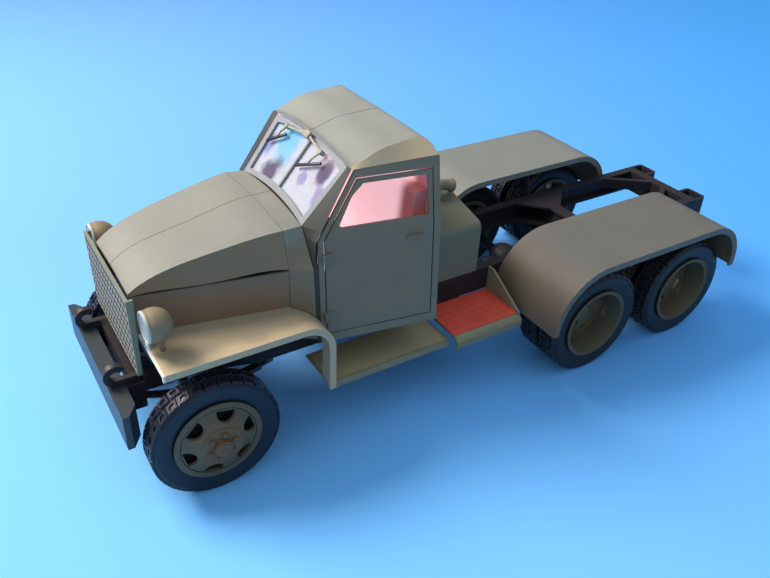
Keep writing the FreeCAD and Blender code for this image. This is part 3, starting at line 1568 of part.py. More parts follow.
def make_running_boards():
    body = new_body("running_board_left")
    end = sketch_on(body, "YZ_Plane", "section", aft(S.board_rear_aft))
    top = S.board_top
    wall = S.card
    outline(end, (S.rail_half, top), (S.board_outer, top), (S.board_outer, top - S.board_lip),
            (S.board_outer - wall, top - S.board_lip), (S.board_outer - wall, top - wall),
            (S.rail_half, top - wall))
    front = aft(S.fender_bend_aft + S.fender_bend) + wall
    pad(body, end, front - aft(S.board_rear_aft))
    arm = sketch_on(body, "YZ_Plane", "arms", aft(S.board_rear_aft) + S.member_width)
    outline(arm, (S.rail_half - S.rail_flange, S.rail_bottom), (S.rail_half, S.rail_bottom),
            (S.rail_half + wall, top), (S.board_outer - wall, top - wall),
            (S.board_outer - wall, top - 2 * wall), (S.rail_half - wall, top - 2 * wall))
    pad(body, arm, S.card)
    node("running_boards", pair("running_boards", body))


def make_step_boxes():
    body = new_body("step_box_left")
    end = sketch_on(body, "YZ_Plane", "section", aft(S.step_rear_aft))
    top = S.step_top
    wall = S.card
    outer = S.step_outer
    outline(end, (S.rail_half, top), (outer, top), (outer + S.step_bevel, top - S.step_bevel),
            (outer + S.step_bevel, top - S.step_bevel - S.step_lip),
            (outer + S.step_bevel - wall, top - S.step_bevel - S.step_lip),
            (outer + S.step_bevel - wall, top - S.step_bevel - wall / 2),
            (outer - wall / 2, top - wall), (S.rail_half, top - wall))
    pad(body, end, S.step_rear_aft - S.step_front_aft)
    gusset = sketch_on(body, "YZ_Plane", "gusset", aft(S.step_rear_aft))
    outline(gusset, (S.rail_half, top - wall), (outer, top - wall), (outer, top + wall),
            (S.rail_half + 3 * wall, S.rail_top), (S.rail_half, S.rail_top))
    pad(body, gusset, wall)
    node("step_boxes", pair("step_boxes", body))
    plank = new_body("step_plank_left")
    plan = sketch_on(plank, "XY_Plane", "plan", top)
    box_outline(plan, aft(S.step_rear_aft) + wall, S.rail_half + S.seat_gap,
                aft(S.step_front_aft), outer - wall / 2)
    pad(plank, plan, S.plank)
    node("step_planks", pair("step_planks", plank))


def rear_fender_side(inset, foot):
    """Side view of the long mudguard, drawn smaller by inset."""
    top = S.rear_fender_top - inset
    front = aft(S.rear_fender_front_aft) - inset
    rear = aft(S.rear_fender_rear_aft) + inset
    nose = S.rear_fender_front_arc - inset
    tail = S.rear_fender_rear_arc - inset
    return [(front, foot), (front, top - nose), (front - nose, top, nose),
            (rear + tail, top), (rear, top - tail, tail), (rear, foot)]


def make_rear_fenders():
    body = new_body("rear_fender_left")
    wall = S.card
    inner = S.rear_fender_inner
    outer = S.rear_fender_outer
    foot = S.rear_fender_foot
    front_foot = S.rear_fender_top - S.rear_fender_front_arc
    start = front_foot - S.leaf
    side = sketch_on(body, "XZ_Plane", "side", -inner)
    outline(side, *rear_fender_side(as_size(0), start))
    pad(body, side, outer - inner, reverse=True)
    hollow = sketch_on(body, "XZ_Plane", "hollow", -inner - wall)
    outline(hollow, *rear_fender_side(wall, start - wall))
    pocket(body, hollow, outer - inner - 2 * wall)
    lips = sketch_on(body, "XZ_Plane", "between_lips", -inner)
    outline(lips, *rear_fender_side(S.rear_fender_lip, start - wall))
    pocket(body, lips, outer - inner)
    trim = sketch_on(body, "XZ_Plane", "rear_foot", -inner)
    rear = aft(S.rear_fender_rear_aft)
    box_outline(trim, rear - wall, start - wall, BOGIE_X, foot)
    pocket(body, trim, outer - inner)
    node("rear_fenders", pair("rear_fenders", body))


def make_fender_brackets():
    """Straps from the rails up to the mudguards' undersides."""
    body = new_body("fender_bracket_left")
    top = S.rear_fender_top - S.card - S.seat_gap
    reach = S.rear_fender_outer - S.rear_fender_lip
    wall = S.bracket_width
    start = S.rail_half
    middle = sketch_on(body, "YZ_Plane", "middle", BOGIE_X - wall / 2)
    outline(middle, (start, S.rail_bottom + wall), (start, S.rail_top),
            (start + 2 * wall, top), (reach, top), (reach, top - wall),
            (start + 5 * wall, top - 2 * wall), (start + 2 * wall, S.rail_bottom + wall))
    pad(body, middle, wall)
    node("fender_brackets", pair("fender_brackets", body))


# Inside the cab

def make_seat():
    body = new_body("seat")
    side = sketch_on(body, "XZ_Plane", "side")
    front = aft(S.seat_front_aft)
    rear = aft(S.cab_rear_aft) + S.cab_wall + S.seat_gap
    low = S.floor_z
    top = S.seat_top
    outline(side, (rear, low), (front - 2, low), (front, top - 3), (front - 2, top, 2),
            (rear + S.back_thickness + 2, top - 1), (rear + S.back_thickness, S.back_top - 2),
            (rear + S.back_thickness - 2, S.back_top, 2), (rear, S.back_top))
    pad(body, side, 2 * S.seat_half, both=True)
    node("seat", body)


def make_dashboard():
    body = new_body("dashboard")
    side = sketch_on(body, "XZ_Plane", "side")
    front = aft(S.screen_aft + S.card + S.seat_gap)
    rear = front - S.dash_depth
    top = S.screen_foot - S.card - S.seat_gap
    outline(side, (front, top - S.dash_height), (front, top), (rear + 1, top),
            (rear, top - 1, 1), (rear + 1, top - S.dash_height))
    pad(body, side, 2 * (S.screen_half - S.card - S.seat_gap), both=True)
    node("dashboard", body)


def make_steering_wheel():
    body = new_body("steering_wheel")
    ring = sketch_on(body, "XZ_Plane", "ring")
    circle(ring, S.steer_ring, 0, S.steer_bar)
    turned(body, ring)
    spokes = sketch_on(body, "XY_Plane", "spokes", -S.steer_bar / 2)
    box_outline(spokes, -S.steer_ring, -S.steer_bar, S.steer_ring, S.steer_bar)
    pad(body, spokes, S.steer_bar)
    upright = sketch_on(body, "XY_Plane", "spoke_low", -S.steer_bar / 2)
    box_outline(upright, -S.steer_bar, -S.steer_ring, S.steer_bar, S.steer_ring)
    pad(body, upright, S.steer_bar)
    # The column ends just short of the bulkhead
    radius = S.steer_column_radius
    run = S.steer_aft - S.cowl_aft - S.card - 2 * S.seat_gap - radius * cosine(S.steer_lean)
    length = run / sine(S.steer_lean)
    column = sketch_on(body, "XY_Plane", "column", -length)
    circle(column, 0, 0, radius)
    pad(body, column, length)
    place(body, x=aft(S.steer_aft), y=S.steer_y, z=S.steer_z, axis=Vector(0, -1, 0),
          angle=S.steer_lean)
    node("steering_wheel", body)


# Wheels. Each is turned about its own axle and then moved to its place.

def tyre_outline(sketch, centre):
    """Half section of a tyre: bead, side wall and a flat tread with round edges."""
    half = S.tyre_width / 2
    bead = S.tyre_bead_width / 2
    low = S.rim_radius
    top = S.tyre_radius
    side = low + (top - low) / 2
    outline(sketch, (low, centre - bead), (side, centre - half),
            (top - S.tread_crown * 2, centre - half + S.tread_crown / 2),
            (top, centre - half + S.tread_crown * 2), (top, centre + half - S.tread_crown * 2),
            (top - S.tread_crown * 2, centre + half - S.tread_crown / 2),
            (side, centre + half), (low, centre + bead))


def make_tyre(name, x, y, centres):
    body = new_body(name)
    section = sketch_on(body, "XY_Plane", "section")
    for centre in centres:
        tyre_outline(section, as_size(centre))
    turned(body, section)
    place(body, x=x, y=y, z=AXLE_Z)
    return body


def make_front_rim(name):
    """Rim with an outward disc, hand holes, a hub and its cap."""
    body = new_body(name)
    section = sketch_on(body, "XY_Plane", "section")
    rim = S.rim_radius - S.bore_clearance
    inner = rim - S.rim_wall
    half = S.tyre_bead_width / 2
    edge = S.tyre_width / 2
    disc = edge - S.disc_wall
    hub = S.hub_radius
    bore = S.spindle_radius + S.bore_clearance
    back = S.knuckle_gap
    flange = S.hub_flange_radius
    cap = S.hub_cap_radius
    reach = S.front_hub_reach
    outline(section, (bore, back), (hub, back), (hub, disc - S.disc_wall),
            (flange, disc - S.disc_wall / 2), (inner, disc - S.disc_wall / 2),
            (inner, -half), (rim, -half), (rim, half), (rim + S.rim_flange, half + S.rim_flange),
            (rim + S.rim_flange, edge), (inner, edge), (inner, disc + S.disc_wall / 2),
            (flange, disc + S.disc_wall / 2), (flange, edge + S.leaf), (hub, edge + S.leaf),
            (hub, edge + 2), (cap, edge + 2), (cap, reach), (0, reach),
            (0, reach - S.disc_wall), (bore, reach - S.disc_wall))
    turned(body, section)
    hand_holes(body, -S.tyre_width)
    return body


def hand_holes(body, start):
    hole = sketch_on(body, "XZ_Plane", "hand_hole", start)
    outer = S.hand_hole_outer
    half = S.hand_hole_half
    bend = S.hand_hole_bend
    corner = S.hand_hole_inner + bend - root(bend * bend - half * half)
    outline(hole, (outer, -half), (outer, half), (corner, half), (corner, -half, bend))
    cut = pocket(body, hole, 2 * S.tyre_width, reverse=True)
    polar(body, cut, "Y_Axis", S.hand_hole_count)


def make_rear_rim(name):
    """Two deep rims whose discs are bolted back to back."""
    body = new_body(name)
    section = sketch_on(body, "XY_Plane", "section")
    rim = S.rim_radius - S.bore_clearance
    inner = rim - S.rim_wall
    half = S.tyre_bead_width / 2
    edge = S.tyre_width / 2
    near = S.twin_spacing / 2
    disc = S.disc_wall
    hub = S.hub_radius
    bore = S.spindle_radius + S.bore_clearance
    reach = S.rear_hub_reach
    flange = rim + S.rim_flange
    lip = half + S.rim_flange
    outline(section, (bore, -reach), (hub, -reach), (hub, -disc), (inner, -disc),
            (inner, -near - edge), (flange, -near - edge), (flange, -near - lip),
            (rim, -near - half), (rim, near + half), (flange, near + lip),
            (flange, near + edge), (inner, near + edge), (inner, disc), (hub, disc),
            (hub, reach), (0, reach), (0, reach - disc), (bore, reach - disc))
    turned(body, section)
    hand_holes(body, -S.twin_spacing)
    return body


def make_wheels():
    tyre = make_tyre("tyre_front_left", FRONT_X, S.front_tyre_centre, [0])
    node("tyre_front_left", tyre)
    node("tyre_front_right", mirror_of(tyre, "tyre_front_right"))
    rim = make_front_rim("rim_front_left")
    place(rim, x=FRONT_X, y=S.front_tyre_centre, z=AXLE_Z)
    node("rim_front_left", rim)
    node("rim_front_right", mirror_of(rim, "rim_front_right"))
    half = S.twin_spacing / 2
    for number, which in enumerate(("front", "rear"), start=1):
        x = REAR_AXLE_X[which]
        name = "rear%d_left" % number
        twins = make_tyre("tyres_" + name, x, S.twin_centre, [-half, half])
        node("tyres_" + name, twins)
        other = "rear%d_right" % number
        node("tyres_" + other, mirror_of(twins, "tyres_" + other))
        rims = make_rear_rim("rims_" + name)
        place(rims, x=x, y=S.twin_centre, z=AXLE_Z)
        node("rims_" + name, rims)
        node("rims_" + other, mirror_of(rims, "rims_" + other))


# Steering

def make_knuckles():
    """Forked knuckle with its kingpin, spindle and rear arm."""
    body = new_body("knuckle_left")
    boss = S.kingpin_boss
    inside = S.kingpin_boss_height / 2 + S.knuckle_gap
    outside = inside + S.knuckle_lug
    plate_y = boss + S.knuckle_gap
    for name, low in (("lug_top", inside), ("lug_foot", -outside)):
        lug = sketch_on(body, "XY_Plane", name, low)
        outline(lug, (boss, 0, boss), (boss, plate_y + S.knuckle_plate),
                (-boss, plate_y + S.knuckle_plate), (-boss, 0), (0, -boss, boss))
        pad(body, lug, S.knuckle_lug)
    pin = sketch_on(body, "XY_Plane", "kingpin", -outside)
    circle(pin, 0, 0, S.kingpin_radius)
    pad(body, pin, 2 * outside)
    plate = sketch_on(body, "XZ_Plane", "plate", -plate_y)
    box_outline(plate, -boss, -outside, boss, outside)
    pad(body, plate, S.knuckle_plate, reverse=True)
    spindle = sketch_on(body, "XZ_Plane", "spindle", -plate_y)
    circle(spindle, 0, 0, S.spindle_radius)
    wheel_in = S.front_tyre_centre - S.kingpin_half
    pad(body, spindle, wheel_in + S.front_hub_reach - 2 * S.disc_wall - plate_y, reverse=True)
    arm = sketch_on(body, "XY_Plane", "arm", -outside)
    reach = S.steering_arm
    width = S.tie_rod_radius * 1.4
    outline(arm, (-boss + width, width), (-reach, width), (-reach - width, 0, width),
            (-reach, -width, width), (-boss + width, -width))
    pad(body, arm, S.knuckle_lug)
    tie_pin = sketch_on(body, "XY_Plane", "tie_pin", -outside - 2 * S.tie_rod_radius)
    circle(tie_pin, -reach, 0, S.tie_pin_radius)
    pad(body, tie_pin, 2 * S.tie_rod_radius)
    place(body, x=FRONT_X, y=S.kingpin_half, z=AXLE_Z)
    node("knuckle_left", body)
    node("knuckle_right", mirror_of(body, "knuckle_right"))


def make_tie_rod():
    body = new_body("tie_rod")
    rod = S.tie_rod_radius
    z = AXLE_Z - S.kingpin_boss_height / 2 - S.knuckle_gap - S.knuckle_lug - S.seat_gap - rod
    bar = sketch_on(body, "XZ_Plane", "bar")
    x = FRONT_X - S.steering_arm
    circle(bar, x, z, rod * 0.8)
    pad(body, bar, 2 * S.kingpin_half - 2 * rod, both=True)
    eyes = sketch_on(body, "XY_Plane", "eyes", z - rod)
    for sign in (1, -1):
        circle(eyes, x, sign * S.kingpin_half, rod * 1.8)
    pad(body, eyes, 2 * rod)
    holes = sketch_on(body, "XY_Plane", "holes", z - rod)
    for sign in (1, -1):
        circle(holes, x, sign * S.kingpin_half, S.tie_pin_radius + S.bore_clearance)
    pocket(body, holes, 2 * rod, reverse=True)
    node("tie_rod", body)


make_frame_rails()
make_cross_members()
make_rear_member()
make_pintle_hook()
make_front_bumper()
make_tow_hooks()
make_front_springs()
make_rear_springs()
make_front_axle()
make_rear_axles()
make_trunnion()
make_prop_shafts()
make_engine_and_boxes()
make_tank()
make_filler()
make_bonnet()
make_bonnet_sides()
make_cowl()
make_cab_sides()
make_doors()
make_cab_rear_wall()
make_cab_floor()
make_roof()
make_windscreen()
make_pillars()
make_wipers()
make_brush_guard()
make_radiator()
make_headlamps()
make_front_fenders()
make_running_boards()
make_step_boxes()
make_rear_fenders()
make_fender_brackets()
make_seat()
make_dashboard()
make_steering_wheel()
make_wheels()
make_knuckles()
make_tie_rod()

doc.recompute()

# Check every object, and that each cut takes material away, before writing
faults = []
for thing in doc.Objects:
    if "Invalid" in thing.State or "Error" in thing.State:
        faults.append("%s is %s" % (thing.Name, thing.State))
    elif thing.TypeId in ("PartDesign::Pocket", "PartDesign::SubtractiveLoft"):
        base = thing.BaseFeature
        if thing.Shape.isNull():
            faults.append("%s is empty" % thing.Name)
        elif base and thing.Shape.Volume > base.Shape.Volume - 1e-6:
            faults.append("%s cuts nothing" % thing.Name)
for name, thing in nodes.items():
    shape = thing.Shape
    if shape.isNull() or not shape.isValid() or not shape.Solids:
        faults.append("%s has no valid solid" % name)
if faults:
    raise SystemExit("\n".join(faults))

os.makedirs("parts", exist_ok=True)
for name, thing in nodes.items():
    thing.Shape.exportStep("parts/%s.step" % name)
print("%d nodes written" % len(nodes))
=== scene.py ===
import math

import bmesh
import bpy
from mathutils import Matrix, Vector


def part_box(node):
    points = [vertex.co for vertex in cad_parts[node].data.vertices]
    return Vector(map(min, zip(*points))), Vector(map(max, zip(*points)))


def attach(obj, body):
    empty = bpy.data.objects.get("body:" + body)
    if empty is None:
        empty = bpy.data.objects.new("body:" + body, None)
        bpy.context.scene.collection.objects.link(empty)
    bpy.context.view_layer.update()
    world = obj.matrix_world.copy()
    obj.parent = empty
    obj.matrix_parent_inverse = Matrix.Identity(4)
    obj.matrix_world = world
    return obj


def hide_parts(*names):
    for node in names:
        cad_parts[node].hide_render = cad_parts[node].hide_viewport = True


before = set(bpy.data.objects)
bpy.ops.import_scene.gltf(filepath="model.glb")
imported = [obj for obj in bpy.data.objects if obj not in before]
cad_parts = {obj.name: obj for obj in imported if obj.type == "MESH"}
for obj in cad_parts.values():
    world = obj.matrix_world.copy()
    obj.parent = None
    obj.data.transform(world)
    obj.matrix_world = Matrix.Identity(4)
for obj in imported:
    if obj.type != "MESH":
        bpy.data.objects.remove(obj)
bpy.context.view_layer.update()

MM = 0.001
SIDES = {"left": 1, "right": -1}


# Places taken from the frame

def middle(node):
    low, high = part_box(node)
    return (low + high) / 2


TYRE_LOW, TYRE_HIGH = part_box("tyre_front_left")
FRONT_AXLE = middle("tyre_front_left")
TYRE_RADIUS = (TYRE_HIGH.z - TYRE_LOW.z) / 2
TYRE_WIDTH = TYRE_HIGH.y - TYRE_LOW.y
REAR_AXLES = {number: middle("tyres_rear%d_left" % number) for number in (1, 2)}
TWIN_LOW, TWIN_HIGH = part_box("tyres_rear1_left")
TWIN_CENTRES = (TWIN_LOW.y + TYRE_WIDTH / 2, TWIN_HIGH.y - TYRE_WIDTH / 2)
BEAD_RADIUS = 12.0 * MM


# Modelling helpers

def deselect():
    if bpy.context.object and bpy.context.object.mode != "OBJECT":
        bpy.ops.object.mode_set(mode="OBJECT")
    bpy.ops.object.select_all(action="DESELECT")


def pick_up(piece):
    deselect()
    piece.select_set(True)
    bpy.context.view_layer.objects.active = piece


def start(name, adder, **settings):
    """Adds a primitive at its place and opens it for editing."""
    deselect()
    adder(**settings)
    piece = bpy.context.object
    piece.name = name
    piece.data.name = name
    bpy.ops.object.transform_apply(location=True, rotation=True, scale=True)
    bpy.ops.object.mode_set(mode="EDIT")
    return piece


def choose(piece, mode, test):
    """Selects the vertices, edges or faces that pass a test on their place."""
    bpy.ops.mesh.select_mode(type=mode)
    bpy.ops.mesh.select_all(action="DESELECT")
    mesh = bmesh.from_edit_mesh(piece.data)
    parts = {"VERT": mesh.verts, "EDGE": mesh.edges, "FACE": mesh.faces}[mode]
    for part in parts:
        if test(part):
            part.select_set(True)
    mesh.select_flush_mode()
    bmesh.update_edit_mesh(piece.data)


def is_corner(edge):
    """True for an edge where two faces meet squarely."""
    return len(edge.link_faces) == 2 and abs(
        edge.link_faces[0].normal.dot(edge.link_faces[1].normal)) < 0.3


def everything():
    bpy.ops.mesh.select_all(action="SELECT")


def close(piece, smooth=None):
    """Tidies the mesh, leaves edit mode and shades it."""
    everything()
    bpy.ops.mesh.remove_doubles(threshold=0.001 * MM)
    bpy.ops.mesh.normals_make_consistent(inside=False)
    bpy.ops.object.mode_set(mode="OBJECT")
    if smooth is not None:
        pick_up(piece)
        bpy.ops.object.shade_smooth_by_angle(angle=math.radians(smooth))
    return piece


def own_copy(piece, name, move):
    """A copy with its own mesh, moved by a matrix."""
    twin = piece.copy()
    twin.data = piece.data.copy()
    twin.name = name
    twin.data.name = name
    twin.data.transform(move)
    bpy.context.collection.objects.link(twin)
    return twin


def joined(name, pieces):
    deselect()
    for piece in pieces:
        piece.select_set(True)
    bpy.context.view_layer.objects.active = pieces[0]
    if len(pieces) > 1:
        bpy.ops.object.join()
    pieces[0].name = name
    pieces[0].data.name = name
    return pieces[0]


def mirrored(piece, name):
    """The right-hand copy, with its faces turned outwards again."""
    twin = own_copy(piece, name, Matrix.Scale(-1, 4, Vector((0, 1, 0))))
    pick_up(twin)
    bpy.ops.object.mode_set(mode="EDIT")
    everything()
    bpy.ops.mesh.flip_normals()
    bpy.ops.object.mode_set(mode="OBJECT")
    return twin


def fit(piece, body, slot, material, *stands_for):
    """Ties a finished piece to its body and its material. The slot is not used."""
    piece.data.materials.clear()
    piece.data.materials.append(material)
    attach(piece, body)
    if stands_for:
        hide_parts(*stands_for)
    return piece


def turn_about(centre, axis, angle):
    there = Matrix.Translation(centre)
    back = Matrix.Translation(-centre)
    return there @ Matrix.Rotation(angle, 4, axis) @ back


def ring_of(piece, name, centre, axis, count):
    """Repeats a piece round a centre and joins the lot."""
    copies = [piece]
    for number in range(1, count):
        turn = turn_about(centre, axis, 2 * math.pi * number / count)
        copies.append(own_copy(piece, name, turn))
    return joined(name, copies)


def flat_ring(name, centre, outer, inner, depth, axis="Y", bevel=0.08, steps=72):
    """A flat ring: a disc whose two faces are inset and bridged through."""
    turn = {"Y": (math.pi / 2, 0, 0), "X": (0, math.pi / 2, 0)}[axis]
    ring = start(name, bpy.ops.mesh.primitive_cylinder_add, vertices=steps, radius=outer,
                 depth=depth, location=centre, rotation=turn)
    letter = "XYZ".index(axis)
    choose(ring, "FACE", lambda face: abs(face.normal[letter]) > 0.9)
    bpy.ops.mesh.inset(thickness=outer - inner)
    bpy.ops.mesh.bridge_edge_loops()
    choose(ring, "EDGE", is_corner)
    bpy.ops.mesh.bevel(offset=bevel * MM, segments=2, affect="EDGES")
    return close(ring, 35)


# Node building helpers

class Board:
    """Adds nodes to one tree and joins their sockets."""

    def __init__(self, tree):
        self.tree = tree

    def add(self, kind, **settings):
        made = self.tree.nodes.new(kind)
        for key, value in settings.items():
            setattr(made, key, value)
        return made

    def feed(self, socket, thing):
        if isinstance(thing, bpy.types.NodeSocket):
            self.tree.links.new(thing, socket)
        elif isinstance(thing, (tuple, list)) and len(thing) == 3 and socket.type == "RGBA":
            socket.default_value = (*thing, 1)
        else:
            socket.default_value = thing

    def math(self, operation, first, second=0.0, third=0.0):
        made = self.add("ShaderNodeMath", operation=operation)
        for socket, thing in zip(made.inputs, (first, second, third)):
            self.feed(socket, thing)
        return made.outputs[0]

    def mix(self, factor, first, second, blend="MIX"):
        made = self.add("ShaderNodeMix", data_type="RGBA", blend_type=blend)
        self.feed(made.inputs[0], factor)
        self.feed(made.inputs[6], first)
        self.feed(made.inputs[7], second)
        return made.outputs[2]

    def noise(self, vector, scale, detail=2.0, roughness=0.5):
        made = self.add("ShaderNodeTexNoise")
        self.feed(made.inputs["Vector"], vector)
        self.feed(made.inputs["Scale"], scale)
        self.feed(made.inputs["Detail"], detail)
        self.feed(made.inputs["Roughness"], roughness)
        return made.outputs["Fac"]

    def ramp(self, value, low, high, to_low=0.0, to_high=1.0):
        """A smooth step of a value between two limits."""
        made = self.add("ShaderNodeMapRange", interpolation_type="SMOOTHSTEP")
        for label, thing in (("Value", value), ("From Min", low), ("From Max", high),
                             ("To Min", to_low), ("To Max", to_high)):
            self.feed(made.inputs[label], thing)
        return made.outputs[0]

    def stretched(self, vector, scale):
        made = self.add("ShaderNodeMapping")
        self.feed(made.inputs["Vector"], vector)
        made.inputs["Scale"].default_value = scale
        return made.outputs[0]

    def place(self):
        """Object coordinates, whole and split."""
        coordinates = self.add("ShaderNodeTexCoord").outputs["Object"]
        split = self.add("ShaderNodeSeparateXYZ")
        self.feed(split.inputs[0], coordinates)
        return coordinates, split.outputs

    def normal(self):
        split = self.add("ShaderNodeSeparateXYZ")
        self.feed(split.inputs[0], self.add("ShaderNodeTexCoord").outputs["Normal"])
        return split.outputs

    def use(self, group, **inputs):
        made = self.add("ShaderNodeGroup")
        made.node_tree = group
        for label, thing in inputs.items():
            self.feed(made.inputs[label.replace("_", " ")], thing)
        return made.outputs


def new_group(name, inputs, outputs):
    tree = bpy.data.node_groups.new(name, "ShaderNodeTree")
    kinds = {"colour": "NodeSocketColor", "value": "NodeSocketFloat", "vector": "NodeSocketVector"}
    for label, kind, default in inputs:
        socket = tree.interface.new_socket(label, in_out="INPUT", socket_type=kinds[kind])
        socket.default_value = default
    for label, kind in outputs:
        tree.interface.new_socket(label, in_out="OUTPUT", socket_type=kinds[kind])
    board = Board(tree)
    entry = board.add("NodeGroupInput").outputs
    leave = board.add("NodeGroupOutput").inputs
    return tree, board, entry, leave


def make_card_grain():
    """Printed card: soft mottling, fine speckle and long paper fibres."""
    tree, board, entry, leave = new_group(
        "card_grain",
        [("Colour", "colour", (0.5, 0.5, 0.5, 1)), ("Mottle", "value", 0.2),
         ("Speckle", "value", 0.12)],
        [("Colour", "colour"), ("Height", "value")])
    coordinates = board.place()[0]
    blotch = board.noise(coordinates, 95, 4, 0.6)
    speckle = board.noise(coordinates, 2300, 3, 0.7)
    fibre = board.noise(board.stretched(coordinates, (1, 0.35, 0.6)), 2600, 3, 0.6)
    patchy = board.math("MULTIPLY", board.math("SUBTRACT", blotch, 0.5), entry["Mottle"])
    fine = board.math("MULTIPLY", board.math("SUBTRACT", speckle, 0.5), entry["Speckle"])
    brightness = board.math("ADD", board.math("ADD", patchy, fine), 1.0)
    tone = board.add("ShaderNodeHueSaturation")
    board.feed(tone.inputs["Color"], entry["Colour"])
    board.feed(tone.inputs["Value"], brightness)
    board.feed(leave["Colour"], tone.outputs[0])
    board.feed(leave["Height"], board.math("ADD", board.math("MULTIPLY", speckle, 0.6),
                                           board.math("MULTIPLY", fibre, 0.4)))
    return tree


def make_edge_spray():
    """Sprayed shading that gathers near the sides of a box."""
    limits = [("Low X", -1.0), ("High X", 1.0), ("Low Y", -1.0), ("High Y", 1.0),
              ("Low Z", -1.0), ("High Z", 1.0), ("Width", 0.004)]
    tree, board, entry, leave = new_group(
        "edge_spray", [(label, "value", value) for label, value in limits], [("Mask", "value")])
    coordinates, split = board.place()
    nearest = None
    for letter in "XYZ":
        above = board.math("SUBTRACT", split[letter], entry["Low " + letter])
        below = board.math("SUBTRACT", entry["High " + letter], split[letter])
        closer = board.math("MINIMUM", above, below)
        nearest = closer if nearest is None else board.math("MINIMUM", nearest, closer)
    drift = board.math("MULTIPLY", board.math("SUBTRACT", board.noise(coordinates, 160, 3), 0.5),
                       entry["Width"])
    board.feed(leave["Mask"], board.ramp(board.math("ADD", nearest, drift),
                                         0.0, entry["Width"], 1.0, 0.0))
    return tree


def make_thin_line():
    """A drawn or scored line where a distance passes through zero."""
    tree, board, entry, leave = new_group(
        "thin_line", [("Distance", "value", 0.0), ("Half Width", "value", 0.0001)],
        [("Mask", "value")])
    away = board.math("ABSOLUTE", entry["Distance"])
    softer = board.math("MULTIPLY", entry["Half Width"], 1.6)
    board.feed(leave["Mask"], board.ramp(away, board.math("MULTIPLY", softer, 0.4), softer,
                                         1.0, 0.0))
    return tree


def make_cut_edge():
    """Bare cut edges of a sheet: faces that look across its thickness."""
    tree, board, entry, leave = new_group(
        "cut_edge", [("Sheet Normal", "vector", (0, 0, 1))], [("Mask", "value")])
    normal = board.add("ShaderNodeTexCoord").outputs["Normal"]
    dot = board.add("ShaderNodeVectorMath", operation="DOT_PRODUCT")
    board.feed(dot.inputs[0], normal)
    board.feed(dot.inputs[1], entry["Sheet Normal"])
    facing = board.math("ABSOLUTE", dot.outputs["Value"])
    board.feed(leave["Mask"], board.ramp(facing, 0.25, 0.45, 1.0, 0.0))
    return tree


def make_round_fade():
    """Fades from the middle of a wheel outwards."""
    tree, board, entry, leave = new_group(
        "round_fade",
        [("Centre X", "value", 0.0), ("Centre Z", "value", 0.0), ("Radius", "value", 0.01),
         ("Width", "value", 0.002)],
        [("Mask", "value")])
    split = board.place()[1]
    across = board.math("POWER", board.math("SUBTRACT", split["X"], entry["Centre X"]), 2.0)
    upward = board.math("POWER", board.math("SUBTRACT", split["Z"], entry["Centre Z"]), 2.0)
    reach = board.math("SQRT", board.math("ADD", across, upward))
    board.feed(leave["Mask"], board.ramp(reach, entry["Radius"],
                                         board.math("ADD", entry["Radius"], entry["Width"]),
                                         1.0, 0.0))
    return tree


CARD_GRAIN = make_card_grain()
EDGE_SPRAY = make_edge_spray()
THIN_LINE = make_thin_line()
CUT_EDGE = make_cut_edge()
ROUND_FADE = make_round_fade()

# Finishes, as linear colours
OLIVE_TOP = (0.235, 0.215, 0.178)
OLIVE_SIDE = (0.21, 0.145, 0.09)
OLIVE_DEEP = (0.16, 0.15, 0.10)
BROWN_SPRAY = (0.225, 0.155, 0.085)
BOARD_GREY = (0.46, 0.42, 0.34)
SEAM_DARK = (0.02, 0.017, 0.014)
CHASSIS_BROWN = (0.032, 0.024, 0.027)
NEAR_BLACK = (0.012, 0.011, 0.013)

# The bonnet's sideways faces take a darker brown, as painted shade
BONNET_SIDE_SHADE = (0.235, 0.155, 0.085)
ENGINE_BROWN = (0.235, 0.135, 0.075)
ENGINE_TOP = (0.17, 0.145, 0.10)
DOOR_TOP = (0.28, 0.17, 0.095)
PILLAR_DARK = (0.032, 0.03, 0.023)
ROOF_TOP = (0.265, 0.25, 0.215)
# The roof's sloping sides take a lighter colour, as painted light
ROOF_CHEEK_LIGHT = (0.52, 0.37, 0.22)
SCREEN_GREY = (0.235, 0.235, 0.25)

CORAL = (0.86, 0.40, 0.38)
CORAL_SHADE = (0.50, 0.17, 0.16)
# A darker coral, painted shade on the seat in the corner nearest the camera
CORAL_CORNER_SHADE = (0.60, 0.24, 0.23)
CORAL_PAINTED_GLOW = (0.86, 0.66, 0.76)
PAINTED_GLOW_STRENGTH = 0.6
# The painted glow, light that stands in for the light inside the cab, starts behind the cowl, and
# fades out in the corner nearest the camera
GLOW_FROM = FRONT_AXLE.x - 38 * MM
GLOW_FULL = FRONT_AXLE.x - 44 * MM
SHADED_CORNER = (17 * MM, 22 * MM)

FENDER_TOP = (0.34, 0.25, 0.155)
FENDER_SPRAY = (0.52, 0.37, 0.22)
FENDER_FRONT = (0.75, 0.70, 0.58)
# The far rear fender takes a lighter colour and the near one a darker, as painted light and shade
REAR_FENDER_LIT = (0.205, 0.195, 0.17)
REAR_FENDER_SHADED = (0.138, 0.12, 0.10)
REAR_FENDER_SPRAY = (0.175, 0.10, 0.055)
BOARD_OLIVE = (0.38, 0.30, 0.17)
STEP_OLIVE = (0.26, 0.235, 0.14)
PLANK_RED = (0.93, 0.095, 0.045)
PLANK_SHADE = (0.75, 0.07, 0.035)
PLANK_GROOVE = (0.30, 0.035, 0.02)
TANK_OLIVE = (0.16, 0.125, 0.075)
FILLER_BROWN = (0.19, 0.145, 0.09)

FRAME_DARK = (0.023, 0.018, 0.021)
FRAME_EDGE = (0.028, 0.021, 0.023)
# The bumper's black card is tinted blue, a painted reflection of the blue floor
BUMPER_BLUE_REFLECTION = (0.023, 0.0306, 0.0357)
BUMPER_EDGE_BLUE_REFLECTION = (0.028, 0.0357, 0.0391)
LEAF_EDGE = (0.09, 0.085, 0.09)
STEERING_SHEEN = (0.06, 0.07, 0.09)

